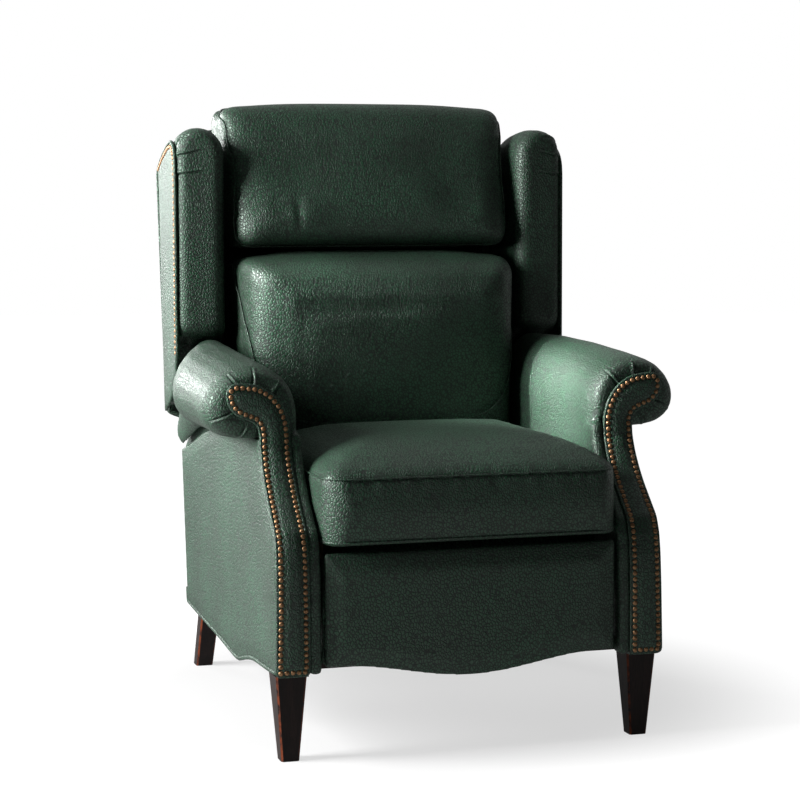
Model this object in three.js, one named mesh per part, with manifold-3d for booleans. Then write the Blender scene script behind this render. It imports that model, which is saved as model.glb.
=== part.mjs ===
// A push-back wingback recliner: leather over a hardwood frame, with a scissor footrest.
// Millimetres, +Z up. The sitter faces -Y, so the chair's own left side lies on +X.
// The origin is on the floor, under the middle of the closed chair.

import * as THREE from "three";
import { mergeVertices } from "three/addons/utils/BufferGeometryUtils.js";
import Module from "manifold-3d";

const wasm = await Module();
wasm.setup();

// Driving dimensions

const overall = { depth: 922, backTop: 1045 };
const front = -overall.depth / 2;
const rear = overall.depth / 2;

const gap = 0.3; // between pieces that touch
const seam = 0.6; // between a cushion and what it lies against
const runningGap = 8; // between the wings and the arm rolls that they pass
const overrun = 40; // how far a cutter runs past what it cuts
const weld = 1e-4; // points closer than this are one point

const leg = { height: 143, top: 52, foot: 30, chamfer: 3, setBack: 20, inset: 2.3 };
const rearLeg = { top: 36, foot: 32, inset: 16, rake: 75 };

const arm = {
  innerX: 258, // half the inside width
  pad: 21.3, // thickness of the padded inner arm
  frame: 47.4, // thickness of the hardwood arm frame at the front
  skin: 6, // thickness of the outside arm panel
  setBack: 11, // of the arm front's foot, behind the front of the seat cushion
  sweep: 124, // from the arm front's foot back to its scroll
  reveal: 4, // from the leg's top up to the leather
  top: 655,
  frameTop: 540,
  rearTop: 432,
  rearInset: 8, // of the arm frame's rear edge inside the outside panel's
  rollOuterX: 419,
  toeIn: 0.85, // degrees that the outside turns in toward the rear
};
const armFrontY = front + arm.setBack;
const scrollY = armFrontY + arm.sweep;
const armFootZ = leg.height + arm.reveal;
const frameFootZ = leg.height + gap;
const armFrameX = arm.innerX + arm.pad + gap;
const armSkinX = armFrameX + arm.frame + gap;
const armOuterX = armSkinX + arm.skin;

const facing = { thickness: 8, crotchZ: 520, outerX: 383, topZ: 608.5 };

// The back leans by a constant slope. Depths in it are counted forward from the outside back.
const back = { slope: 0.1483, foot: 182, skin: 12, frameDepth: 145, postThickness: 18.7, sideGap: 2 };
const backFrame = { bottom: 306, top: 1030, rail: 60, railThickness: 22, railRise: 4, midBottom: 690, wingBottom: 880 };
const backRearY = (z) => rear - back.slope * (overall.backTop - z);
const backPostFront = (z) => backRearY(z) - back.skin - gap - back.frameDepth;
const backFootY = backPostFront(backFrame.bottom);

const wing = {
  outerX: 376, // at the front edge
  reach: 334, // of the front edge, ahead of the chair's rear
  width: 91,
  skin: 6,
  core: 18,
  coreInset: 24, // of the core's front edge behind the padding's
  edgeInset: 3, // of the core's other edges inside the outside panel's
  toeIn: 5.3, // degrees
  length: 205, // of the padding, front to rear
  footRadius: 12,
  footPoints: 8, // along the core's lower edge
};
const wingFrontY = rear - wing.reach;

// Heights and half widths of the two back cushions. Edge and crown are depths, lean is the crown's extra at its foot.
const lowerCushion = {
  bottom: 374,
  top: 811,
  halfBottom: 250,
  halfTop: 266,
  edge: 262,
  crown: 115,
  lean: -32,
  roundOver: 118,
};
const headPillow = {
  bottom: 818,
  top: 1092,
  halfBottom: 268,
  halfTop: 277,
  edge: 240,
  crown: 78,
  lean: 26,
  roundOver: 92,
};

// The depth of a back cushion's front face at a height
function cushionFrontY({ bottom, top, edge, crown, lean }, z) {
  const middleZ = (bottom + top) / 2;
  return backRearY(z) - edge - crown + lean * ((z - middleZ) / (top - middleZ));
}

const seat = { bottom: 357, welt: 462, crown: 49, deck: 6.4, backGap: 4.7 };
const seatHalfWidth = arm.innerX - seam;
const seatRearY = cushionFrontY(lowerCushion, lowerCushion.bottom + lowerCushion.roundOver) - seat.backGap;
const seatFrame = { halfWidth: 239, height: 50, setBack: 81, rearInset: 5, rail: 22 };
const seatFrameTop = seat.bottom - seat.deck - 2 * gap;

// The recline hinge and the footrest's links, in the plane of the side plates
const hinge = { ahead: 62.1, z: 335, pinRadius: 6 }; // ahead of the back posts' feet
const links = {
  setBack: 203, // of the pivot on the side plate, behind the front of the seat cushion
  boardSetBack: 65, // of the pivot that carries the board's bracket
  pivotZ: 300,
  restAngle: 295, // direction of the folded long link in degrees, from +Y toward +Z
  reach: 125, // from its pivot to where the two links cross
  tail: 38, // from the crossing to the long link's end
  heel: 60, // from the crossing to the crossing link's rear end
  thickness: 3,
  layer: 4.8, // from one link's face to the next
  halfWidth: 9,
  pinRadius: 4.6,
  rivetHead: 0.9,
  tubeReach: 40, // from the pivot to the torque tube
  tubeRadius: 9,
};
const hingeY = backFootY - hinge.ahead;
const plateX = arm.innerX - gap - links.thickness;
const layerX = (n) => plateX - n * links.layer;

const board = {
  sideGap: 6, // to the padded inner arm
  setBack: 18, // of the padded front, behind the front of the seat cushion
  pad: 12.7,
  core: 12,
  topGap: 20, // to the seat cushion
  middle: 128, // height of the lower edge in the middle
  side: 155, // height of the lower edge at the sides
  waveShare: 0.91, // of the half width that the wave takes
  inset: 4, // of the core inside the padded front
  bevel: 6,
};
const boardTop = seat.bottom - board.topGap;
const boardRearY = front + board.setBack + board.pad + gap + board.core;

// Materials

const look = (color, roughness, metalness = 0) => new THREE.MeshStandardMaterial({ color, roughness, metalness });
const leather = () => look(0x2c473b, 0.45);
const darkWood = () => look(0x1f1614, 0.4);
const frameWood = () => look(0xb8935f, 0.7);
const plywood = () => look(0xc4a473, 0.7);
const steel = () => look(0x3a3d40, 0.45, 0.8);
const wire = () => look(0x55585c, 0.4, 0.9);
const deckCloth = () => look(0x24282a, 0.9);

const chair = new THREE.Group();
chair.name = "wingback_recliner";

// Joining, cutting and placing

// Leaves a geometry only its positions, with equal ones merged.
function bare(geometry) {
  const g = geometry.clone();
  g.deleteAttribute("normal");
  g.deleteAttribute("uv");
  return mergeVertices(g, weld);
}

function signedVolume(g) {
  const p = g.attributes.position;
  const [a, b, c] = [new THREE.Vector3(), new THREE.Vector3(), new THREE.Vector3()];
  let sum = 0;
  for (let i = 0; i < g.index.count; i += 3) {
    a.fromBufferAttribute(p, g.index.getX(i));
    b.fromBufferAttribute(p, g.index.getX(i + 1));
    c.fromBufferAttribute(p, g.index.getX(i + 2));
    sum += a.dot(b.cross(c)) / 6;
  }
  return sum;
}

// Turns every face round where a body is inside out.
function outward(geometry) {
  const g = bare(geometry);
  if (signedVolume(g) > 0) return g;
  const index = Array.from(g.index.array);
  for (let i = 0; i < index.length; i += 3) [index[i + 1], index[i + 2]] = [index[i + 2], index[i + 1]];
  g.setIndex(index);
  return g;
}

function toSolid(geometry) {
  const g = outward(geometry);
  const vertProperties = new Float32Array(g.attributes.position.array);
  const triVerts = new Uint32Array(g.index.array);
  return new wasm.Manifold(new wasm.Mesh({ numProp: 3, vertProperties, triVerts }));
}

function toGeometry(solid) {
  const mesh = solid.getMesh();
  const g = new THREE.BufferGeometry();
  g.setAttribute("position", new THREE.BufferAttribute(new Float32Array(mesh.vertProperties), 3));
  g.setIndex(new THREE.BufferAttribute(new Uint32Array(mesh.triVerts), 1));
  return g;
}

const join = (first, ...others) => toGeometry(others.reduce((sum, g) => sum.add(toSolid(g)), toSolid(first)));
const cut = (body, ...tools) => toGeometry(tools.reduce((rest, g) => rest.subtract(toSolid(g)), toSolid(body)));
const common = (a, b) => toGeometry(toSolid(a).intersect(toSolid(b)));
const mirrored = (geometry) => outward(geometry.clone().scale(-1, 1, 1));

function piece(name, geometry, material) {
  const body = outward(geometry).toNonIndexed();
  body.computeVertexNormals();
  const mesh = new THREE.Mesh(body, material);
  mesh.name = name;
  chair.add(mesh);
}

// A piece on the chair's left side (+X) and its mirror image on the right side
function pair(name, geometry, material) {
  piece(`${name}_left`, geometry, material());
  piece(`${name}_right`, mirrored(geometry), material());
}

// Bases that stand a shape drawn in a plane upright
const alongX = new THREE.Matrix4().makeBasis(
  new THREE.Vector3(0, 1, 0),
  new THREE.Vector3(0, 0, 1),
  new THREE.Vector3(1, 0, 0),
);
const alongY = new THREE.Matrix4().makeBasis(
  new THREE.Vector3(1, 0, 0),
  new THREE.Vector3(0, 0, 1),
  new THREE.Vector3(0, -1, 0),
);

const vectors = (points) => points.map(([x, y]) => new THREE.Vector2(x, y));

function shapeOf(points, holes = []) {
  const shape = new THREE.Shape(vectors(points));
  holes.forEach((h) => shape.holes.push(new THREE.Path(vectors(h))));
  return shape;
}

function bevelOf(size) {
  if (!size) return { bevelEnabled: false };
  return { bevelEnabled: true, bevelSize: size, bevelThickness: size, bevelOffset: -size, bevelSegments: 2 };
}

// A side profile in (y, z), extruded from x0 to x1
function sideExtrude(points, x0, x1, holes = [], bevel = 0) {
  const settings = { depth: x1 - x0 - 2 * bevel, steps: 1, ...bevelOf(bevel) };
  const g = new THREE.ExtrudeGeometry(shapeOf(points, holes), settings);
  return g.applyMatrix4(alongX).translate(x0 + bevel, 0, 0);
}

// A front outline in (x, z), extruded from y0, nearer the front, to y1
function frontExtrude(points, y0, y1, bevel = 0) {
  const settings = { depth: y1 - y0 - 2 * bevel, steps: 1, ...bevelOf(bevel) };
  const g = new THREE.ExtrudeGeometry(shapeOf(points), settings);
  return g.applyMatrix4(alongY).translate(0, y1 - bevel, 0);
}

function box(x0, x1, y0, y1, z0, z1) {
  return new THREE.BoxGeometry(x1 - x0, y1 - y0, z1 - z0).translate((x0 + x1) / 2, (y0 + y1) / 2, (z0 + z1) / 2);
}

// A pin or tube along X
function rod(x0, x1, [y, z], radius, sides = 12) {
  return new THREE.CylinderGeometry(radius, radius, x1 - x0, sides)
    .rotateZ(Math.PI / 2)
    .translate((x0 + x1) / 2, y, z);
}

function circle([cx, cy], radius, sides) {
  return Array.from({ length: sides }, (unused, i) => {
    const angle = (i / sides) * 2 * Math.PI;
    return [cx + radius * Math.cos(angle), cy + radius * Math.sin(angle)];
  });
}

const mix = (a, b, t) => a + (b - a) * t;
const smooth = (points, count) => new THREE.SplineCurve(vectors(points)).getPoints(count).map((p) => [p.x, p.y]);

// A smooth closed line through the points
function smoothLoop(points, count) {
  const through = points.map(([x, y]) => new THREE.Vector3(x, y, 0));
  const line = new THREE.CatmullRomCurve3(through, true).getPoints(count).slice(0, count);
  return line.map((p) => [p.x, p.y]);
}

// Reads a table of [position, value] rows at any position, by straight lines between the rows.
function lookUp(table, at) {
  const last = table.length - 1;
  if (at <= table[0][0]) return table[0][1];
  if (at >= table[last][0]) return table[last][1];
  const i = table.findIndex((row) => row[0] > at);
  const [a, b] = [table[i - 1], table[i]];
  return mix(a[1], b[1], (at - a[0]) / (b[0] - a[0]));
}

// A closed body through rings of [x, y, z] points. Both end rings are closed flat by the given 2-D reading.
function loft(rings, flat) {
  const count = rings[0].length;
  const index = [];
  for (let r = 0; r + 1 < rings.length; r += 1) {
    for (let i = 0; i < count; i += 1) {
      const a = r * count + i;
      const b = r * count + ((i + 1) % count);
      index.push(a, b, b + count, a, b + count, a + count);
    }
  }
  const flatRing = (ring) => ring.map((p) => new THREE.Vector2(...flat(p)));
  const cap = (ring, start, turned) => {
    THREE.ShapeUtils.triangulateShape(flatRing(ring), []).forEach(([a, b, c]) => {
      index.push(...(turned ? [start + a, start + c, start + b] : [start + a, start + b, start + c]));
    });
  };
  const clockwise = THREE.ShapeUtils.isClockWise(flatRing(rings[0]));
  cap(rings[0], 0, !clockwise);
  cap(rings[rings.length - 1], (rings.length - 1) * count, clockwise);
  const g = new THREE.BufferGeometry();
  g.setAttribute("position", new THREE.Float32BufferAttribute(rings.flat(2), 3));
  g.setIndex(index);
  return g;
}

const flatTop = ([x, y]) => [x, y];
const flatFront = ([x, , z]) => [x, z];

// A rectangle with round corners, as a list of points, centred on (cx, cy)
function roundRect(cx, cy, halfX, halfY, radius, cornerSteps, sidePoints = 0) {
  const quarters = [
    [1, 1],
    [-1, 1],
    [-1, -1],
    [1, -1],
  ];
  const corner = ([sx, sy]) => [cx + sx * (halfX - radius), cy + sy * (halfY - radius)];
  const onArc = ([x, y], angle) => [x + radius * Math.cos(angle), y + radius * Math.sin(angle)];
  const points = [];
  quarters.forEach((quarter, k) => {
    const here = corner(quarter);
    for (let i = 0; i <= cornerSteps; i += 1) points.push(onArc(here, (k + i / cornerSteps) * (Math.PI / 2)));
    const next = corner(quarters[(k + 1) % quarters.length]);
    for (let i = 1; i <= sidePoints; i += 1) {
      const t = i / (sidePoints + 1);
      points.push(onArc([mix(here[0], next[0], t), mix(here[1], next[1], t)], (k + 1) * (Math.PI / 2)));
    }
  });
  return points;
}

// Leans an upright body of the back, whose rear face is drawn at the rear of the chair.
function raked(geometry) {
  const shear = new THREE.Matrix4().makeShear(0, 0, 0, 0, 0, back.slope);
  return geometry.clone().applyMatrix4(shear).translate(0, -back.slope * overall.backTop, 0);
}

// The arm

// The side view of the arm's front edge: [share of the arm's height, share of the sweep]
const armSweepShares = [
  [0, 0],
  [0.23, 0.012],
  [0.33, 0.032],
  [0.398, 0.07],
  [0.449, 0.155],
  [0.498, 0.365],
  [0.549, 0.58],
  [0.6, 0.755],
  [0.65, 0.888],
  [0.7, 0.975],
  [0.754, 1],
  [1, 1],
];
const armHeight = arm.top - armFootZ;
const sweepY = (z) => armFrontY + arm.sweep * lookUp(armSweepShares, (z - armFootZ) / armHeight);

// The points of the swept front edge, moved back by an offset, from one height to another
function sweepEdge(z0, z1, offset) {
  const heights = armSweepShares.map(([share]) => armFootZ + share * armHeight).filter((z) => z > z0 && z < z1);
  return [z0, ...heights, z1].map((z) => [sweepY(z) + offset, z]);
}

// The outside of the arm turns in toward the rear about the outer edge of the arm front.
const armTurn = THREE.MathUtils.degToRad(arm.toeIn);
const toeIn = (geometry) =>
  geometry.clone().translate(-armOuterX, -armFrontY, 0).rotateZ(armTurn).translate(armOuterX, armFrontY, 0);
const skinInnerX = (y) => armSkinX - (y - armFrontY) * Math.tan(armTurn);

const armRearY = (z) => backRearY(z) - back.slope * gap;
const armFrameRearY = (z) => armRearY(z) - arm.rearInset;

// The top of the arm frame from the scroll to the rear corner: [share of length, share of the drop]
const armTopLineShares = [
  [0.62, 0],
  [0.72, 0.08],
  [0.82, 0.32],
  [0.92, 0.68],
  [1, 1],
];

function armFrameOutline(grow) {
  const offset = facing.thickness + gap - grow;
  const drop = arm.frameTop - arm.rearTop;
  const topLine = armTopLineShares.map(([length, fall]) => [
    mix(scrollY, armFrameRearY(arm.rearTop), length) + grow,
    arm.frameTop + grow - fall * drop,
  ]);
  return [
    ...sweepEdge(frameFootZ, arm.frameTop + grow, offset),
    ...topLine,
    [armFrameRearY(frameFootZ) + grow, frameFootZ],
  ];
}

const armFrameHole = { radius: 50, setBack: 243, pitch: 160, z: 410, count: 3, sides: 20 };

function makeArmFrames() {
  const { radius, setBack, pitch, z, count, sides } = armFrameHole;
  const holes = Array.from({ length: count }, (unused, i) => circle([front + setBack + i * pitch, z], radius, sides));
  const slab = sideExtrude(armFrameOutline(0), armFrameX, armFrameX + arm.frame, holes);
  const outside = box(armFrameX + arm.frame, arm.rollOuterX, armFrontY, rear + overrun, 0, arm.top);
  pair("arm_frame", cut(slab, toeIn(outside)), frameWood);
}

// The bent facing on the arm front: its outline from the front, cut from a sheet that follows the sweep.
// The scroll is in shares of [width beyond the inner edge, height above the crotch].
const scrollShares = [
  [0, 0.09],
  [0.014, 0.24],
  [0.063, 0.45],
  [0.15, 0.65],
  [0.295, 0.836],
  [0.502, 0.96],
  [0.753, 0.997],
  [0.893, 1],
  [0.985, 0.915],
  [1, 0.79],
  [0.971, 0.633],
  [0.9, 0.503],
  [0.802, 0.418],
  [0.696, 0.37],
  [0.614, 0.336],
  [0.546, 0.294],
  [0.493, 0.22],
  [0.466, 0.113],
];

function facingOutline() {
  const width = facing.outerX - armFrameX;
  const height = facing.topZ - facing.crotchZ;
  const scroll = scrollShares.map(([u, v]) => [armFrameX + u * width, facing.crotchZ + v * height]);
  return [[armFrameX, armFootZ], ...scroll, [armSkinX, facing.crotchZ], [armOuterX, armFootZ]];
}

function makeArmFronts() {
  const face = sweepEdge(armFootZ - overrun, arm.top, 0);
  const rearFace = sweepEdge(armFootZ - overrun, arm.top, facing.thickness).reverse();
  const sheet = sideExtrude([...face, ...rearFace], 0, arm.rollOuterX);
  const outline = frontExtrude(facingOutline(), armFrontY - overrun, scrollY + overrun);
  pair("arm_front_panel", common(sheet, outline), leather);
}

// The padded inner arm, with a strip at its front that runs down beside the footrest
const armPad = { bottom: 300, top: 525, behind: 3, strip: 33, bevel: 6, rearGap: 28.1 };
const armPadFrontY = armFrontY + armPad.behind;
const armPadRearY = backFootY - armPad.rearGap;
const stripRearY = armPadFrontY + armPad.strip;

function makeArmPads() {
  const outline = [
    ...sweepEdge(armFootZ, armPad.top, armPad.behind),
    [armPadRearY, armPad.top],
    [armPadRearY, armPad.bottom],
    [stripRearY, armPad.bottom],
    [stripRearY, armFootZ],
  ];
  pair("arm_inside_pad", sideExtrude(outline, arm.innerX, arm.innerX + arm.pad, [], armPad.bevel), leather);
}

// The roll along the arm's top: its section in shares of [width, height]
const rollShares = [
  [0, 0.09],
  [0, 0.3],
  [0.03, 0.55],
  [0.12, 0.78],
  [0.28, 0.94],
  [0.5, 1],
  [0.74, 0.93],
  [0.92, 0.73],
  [1, 0.47],
  [0.96, 0.24],
  [0.82, 0.08],
  [0.62, 0.02],
  [0.45, 0],
  [0.2, 0],
];
// Stations as [share of the roll's length, share of its width lost inside, lost outside, top lost, foot lost]
const rollStationShares = [
  [0, 0.1, 0.16, 0.24, -0.12],
  [0.016, 0.04, 0.05, 0.17, -0.03],
  [0.05, 0, 0, 0.13, 0],
  [0.16, 0, 0, 0.09, 0],
  [0.4, 0, 0, 0.03, 0],
  [0.54, 0, 0.09, 0, 0.06],
  [0.63, 0, 0.2, 0, 0.11],
  [0.7, 0, 0.31, 0, 0.16],
  [0.76, 0.08, 0.37, 0.07, 0.22],
  [0.84, 0.18, 0.42, 0.3, 0.32],
  [0.93, 0.18, 0.47, 0.72, 0.46],
  [1, 0.18, 0.5, 1.05, 0.54],
];
const roll = { foot: 514, rearInset: 138.7, facets: 22 };
const rollFrontY = scrollY + facing.thickness + gap;
const rollLength = rear - roll.rearInset - rollFrontY;
const rollHeight = arm.top - roll.foot;

function rollSection([length, inner, outer, topLoss, footLoss]) {
  const width = arm.rollOuterX - arm.innerX;
  const [x0, x1] = [arm.innerX + inner * width, arm.rollOuterX - outer * width];
  const [z0, z1] = [roll.foot - footLoss * rollHeight, arm.top - topLoss * rollHeight];
  const y = rollFrontY + length * rollLength;
  return smoothLoop(rollShares, roll.facets).map(([u, v]) => [mix(x0, x1, Math.max(u, 0)), y, mix(z0, z1, v)]);
}

const rollTopShares = rollStationShares.map(([length, , , topLoss]) => [length, topLoss]);
const rollTopZ = (y) => arm.top - rollHeight * lookUp(rollTopShares, (y - rollFrontY) / rollLength);

// The outside arm panel. Its scalloped lower edge: [share of length, share of the scallop's drop]
const scallop = { drop: 30, points: 24 };
const scallopShares = [
  [0, -0.13],
  [0.06, 0],
  [0.14, 0.1],
  [0.24, 0.23],
  [0.32, 0.6],
  [0.39, 1],
  [0.47, 0.95],
  [0.6, 0.75],
  [0.8, 0.57],
  [1, 0.35],
];
// The panel's top line under the roll: [share of length, share of the drop]
const skinTop = { front: 518, drop: 90, points: 12 };
const skinTopShares = [
  [0, 0],
  [0.35, 0.06],
  [0.5, 0.16],
  [0.65, 0.36],
  [0.78, 0.58],
  [0.9, 0.82],
  [1, 1],
];

function skinOutline(grow) {
  const offset = facing.thickness + gap;
  const start = armFrontY + offset;
  const lower = scallopShares.map(([length, fall]) => [
    mix(start, armRearY(armFootZ), length),
    armFootZ - fall * scallop.drop,
  ]);
  const topStart = sweepY(skinTop.front) + offset;
  const upper = skinTopShares.map(([length, fall]) => [
    mix(topStart, armRearY(arm.rearTop), length),
    skinTop.front + grow - fall * skinTop.drop,
  ]);
  const frontEdge = sweepEdge(armFootZ + scallop.drop, skinTop.front, offset).slice(0, -1);
  return [...smooth(lower, scallop.points).reverse(), ...frontEdge, ...smooth(upper, skinTop.points)];
}

function makeOutsideArms() {
  pair("outside_arm_panel", toeIn(sideExtrude(skinOutline(0), armSkinX, armOuterX)), leather);
}

function makeArmRolls() {
  const body = loft(rollStationShares.map(rollSection), flatFront);
  const frameSlot = sideExtrude(armFrameOutline(gap), armFrameX - gap, armSkinX);
  const padSlot = box(0, armFrameX, armFrontY, armPadRearY + gap, armPad.bottom, armPad.top + gap);
  const skinSlot = toeIn(sideExtrude(skinOutline(gap), armSkinX - gap, arm.rollOuterX + overrun));
  pair("arm_roll", cut(body, frameSlot, padSlot, skinSlot), leather);
}

// Legs

function legGeometry(top, foot, rake) {
  const square = (size, y, z) =>
    roundRect(0, y, size / 2, size / 2, leg.chamfer, 1).map(([x, v]) => [x, v, z]);
  return loft([square(foot, rake, 0), square(top, 0, leg.height)], flatTop);
}

const rearLegFace = armFrameRearY(frameFootZ);
const rearLegOuterX = skinInnerX(rearLegFace) - rearLeg.inset;
const rearLegInnerX = rearLegOuterX - rearLeg.top;

function makeLegs() {
  const frontHalf = leg.top / 2;
  const frontX = armOuterX - leg.inset - frontHalf;
  const frontY = armFrontY + leg.setBack + frontHalf;
  pair("leg_front", legGeometry(leg.top, leg.foot, 0).translate(frontX, frontY, 0), darkWood);
  const rearX = (rearLegInnerX + rearLegOuterX) / 2;
  const rearY = rearLegFace - rearLeg.top / 2;
  const splayed = legGeometry(rearLeg.top, rearLeg.foot, rearLeg.rake);
  pair("leg_rear", splayed.translate(rearX, rearY, 0), darkWood);
}

// Rails between and inside the arm frames
const sideRail = { height: 90, rearInset: 6.7 };
const stretcher = { behindStrip: 2, depth: 30, lift: 5, height: 20 };
const rearStretcher = { behindHinge: 33, depth: 24, lift: 3, height: 60 };

function makeRails() {
  const reach = armFrameX - gap;
  const railInner = plateX + links.thickness + gap;
  const railTop = armPad.bottom - gap;
  const railFront = stripRearY + gap;
  const railRear = armPadRearY - sideRail.rearInset;
  const rail = box(railInner, reach, railFront, railRear, railTop - sideRail.height, railTop);
  pair("side_rail", rail, frameWood);
  const across = (y, { depth, lift, height }) =>
    box(-reach, reach, y, y + depth, frameFootZ + lift, frameFootZ + lift + height);
  piece("front_stretcher", across(stripRearY + stretcher.behindStrip, stretcher), frameWood());
  piece("rear_stretcher", across(hingeY + rearStretcher.behindHinge, rearStretcher), frameWood());
}

// Links of the footrest. Every pivot is a point in (y, z).

function direction(degrees) {
  const angle = THREE.MathUtils.degToRad(degrees);
  return [Math.cos(angle), Math.sin(angle)];
}
const offsetBy = ([y, z], [dy, dz], length) => [y + dy * length, z + dz * length];

const longDirection = direction(links.restAngle);
const platePivot = [front + links.setBack, links.pivotZ];
const boardPivot = [front + links.boardSetBack, links.pivotZ];
const crossing = offsetBy(platePivot, longDirection, links.reach);
const longEnd = offsetBy(crossing, longDirection, links.tail);
const crossAngle = Math.atan2(boardPivot[1] - crossing[1], boardPivot[0] - crossing[0]);
const crossDirection = [Math.cos(crossAngle), Math.sin(crossAngle)];
const crossHeel = offsetBy(crossing, crossDirection, -links.heel);
const controlPivot = offsetBy(platePivot, crossDirection, -links.heel);
const boardLower = offsetBy(boardPivot, longDirection, links.tail);
const tubeCentre = offsetBy(platePivot, longDirection, links.tubeReach);

const endSteps = 6; // of a bar's round end
const boreSides = 12;
const hingeSides = 16;

// A flat bar with round ends through two points
function barOutline([y0, z0], [y1, z1], radius) {
  const angle = Math.atan2(z1 - z0, y1 - y0);
  const end = ([y, z], from) =>
    Array.from({ length: endSteps + 1 }, (unused, i) => {
      const turn = from + (i / endSteps) * Math.PI;
      return [y + radius * Math.cos(turn), z + radius * Math.sin(turn)];
    });
  return [...end([y1, z1], angle - Math.PI / 2), ...end([y0, z0], angle + Math.PI / 2)];
}

function bar(from, to, layer, bores) {
  const x = layerX(layer);
  const holes = bores.map((centre) => circle(centre, links.pinRadius + gap, boreSides));
  return sideExtrude(barOutline(from, to, links.halfWidth), x, x + links.thickness, holes);
}

// A rivet from the body of one layer through the hole of the next layer in
const inwardPin = (centre, layer) =>
  rod(layerX(layer + 1) - links.rivetHead, layerX(layer) + links.thickness / 2, centre, links.pinRadius, boreSides);

function makeLinks() {
  const long = join(bar(platePivot, longEnd, 1, [platePivot]), inwardPin(crossing, 1), inwardPin(longEnd, 1));
  pair("long_link", long, steel);
  pair("crossing_link", bar(crossHeel, boardPivot, 2, [crossHeel, crossing, boardPivot]), steel);
  pair("control_link", join(bar(controlPivot, crossHeel, 1, [controlPivot]), inwardPin(crossHeel, 1)), steel);
  pair("short_link", bar(longEnd, boardLower, 2, [longEnd, boardLower]), steel);
  const reach = layerX(1) - gap;
  piece("torque_tube", rod(-reach, reach, tubeCentre, links.tubeRadius, hingeSides), steel());
}

// The footrest: a padded board and the brackets that the links carry it by
const bracket = { inset: 9, height: 132, depth: 12, flange: 26 };

function footrestBracket() {
  const x = layerX(3);
  const outerX = x + links.thickness;
  const face = boardRearY + gap;
  const top = boardTop - bracket.inset;
  const bottom = top - bracket.height;
  const web = [
    [face, bottom],
    [face + bracket.depth, bottom],
    [boardLower[0] + links.halfWidth, boardLower[1] - links.halfWidth],
    [boardLower[0] + links.halfWidth, boardLower[1] + links.halfWidth],
    [boardPivot[0] + links.halfWidth, boardPivot[1] + links.halfWidth],
    [face + bracket.depth, top],
    [face, top],
  ];
  const pin = (centre) => {
    const end = layerX(2) + links.thickness + links.rivetHead;
    return rod(x + links.thickness / 2, end, centre, links.pinRadius, boreSides);
  };
  const flange = box(x - bracket.flange, outerX, face, face + links.thickness, bottom, top);
  return join(sideExtrude(web, x, outerX), flange, pin(boardPivot), pin(boardLower));
}

const waveSteps = 24;

function boardOutline(inset) {
  const half = arm.innerX - board.sideGap - inset;
  const lower = Array.from({ length: waveSteps + 1 }, (unused, i) => {
    const share = mix(-1, 1, i / waveSteps);
    const turn = Math.min(Math.abs(share) / board.waveShare, 1) * Math.PI;
    return [share * half, mix(board.middle, board.side, (1 - Math.cos(turn)) / 2) + inset];
  });
  return [...lower, [half, boardTop - inset], [-half, boardTop - inset]];
}

function makeFootrest() {
  pair("footrest_bracket", footrestBracket(), steel);
  const coreFront = boardRearY - board.core;
  piece("footrest_board", frontExtrude(boardOutline(board.inset), coreFront, boardRearY), plywood());
  const padRear = coreFront - gap;
  piece("footrest_pad", frontExtrude(boardOutline(0), padRear - board.pad, padRear, board.bevel), leather());
}

// Side plates, hinge pins and the brackets that carry the back
const plate = { nose: 28, below: 42, above: 12, tail: 18, ear: 36, earRise: 16, corner: 14 };
const plateTop = links.pivotZ + plate.above;
const hingeArm = { lap: 70, edge: 6, underCushion: 2 };

function makePlates() {
  const { nose, below, tail, ear, earRise, corner } = plate;
  const [noseY, tailY] = [platePivot[0] - nose, hingeY + tail];
  const [bottom, earTop] = [links.pivotZ - below, hinge.z + earRise];
  const outline = [
    [noseY, bottom],
    [tailY - corner, bottom],
    [tailY, bottom + corner],
    [tailY, earTop - corner],
    [tailY - corner, earTop],
    [hingeY - corner, earTop],
    [hingeY - ear, plateTop],
    [noseY + corner, plateTop],
    [noseY, plateTop - corner],
  ];
  const bore = circle([hingeY, hinge.z], hinge.pinRadius + gap, hingeSides);
  const body = sideExtrude(outline, plateX, plateX + links.thickness, [bore]);
  pair("side_plate", join(body, inwardPin(platePivot, 0), inwardPin(controlPivot, 0)), steel);
}

function makeHingeBrackets() {
  const { corner } = plate;
  const armTop = lowerCushion.bottom - hingeArm.underCushion;
  const outline = [
    [hingeY - corner, hinge.z - corner],
    [backPostFront(backFrame.bottom) + hingeArm.lap, backFrame.bottom],
    [backPostFront(armTop) + hingeArm.lap, armTop],
    [backPostFront(armTop) + hingeArm.edge, armTop],
    [hingeY, hinge.z + corner],
    [hingeY - corner, hinge.z],
  ];
  const x = layerX(1);
  const pin = rod(x + links.thickness / 2, plateX + links.thickness, [hingeY, hinge.z], hinge.pinRadius, hingeSides);
  pair("back_hinge_bracket", join(sideExtrude(outline, x, x + links.thickness), pin), steel);
}

// Wire springs: a flat sine wave that ends square to its rails

class Sinuous extends THREE.Curve {
  constructor(start, along, across, loops) {
    super();
    Object.assign(this, { start, along, across, loops });
  }
  getPoint(t, target = new THREE.Vector3()) {
    const swing = Math.cos(t * this.loops * 2 * Math.PI);
    return target.copy(this.start).addScaledVector(this.along, t).addScaledVector(this.across, swing);
  }
}

const springSteps = 6; // of each loop
const springSides = 4;

function springGeometry(start, along, { amplitude, loops, radius }) {
  const section = shapeOf(circle([0, 0], radius, springSides));
  const extrudePath = new Sinuous(start, along, new THREE.Vector3(amplitude, 0, 0), loops);
  return new THREE.ExtrudeGeometry(section, { steps: loops * springSteps, bevelEnabled: false, extrudePath });
}

const springX = (i, { count, pitch }) => (i - (count - 1) / 2) * pitch;

// Seat: frame, runners, springs, deck and cushion

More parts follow.
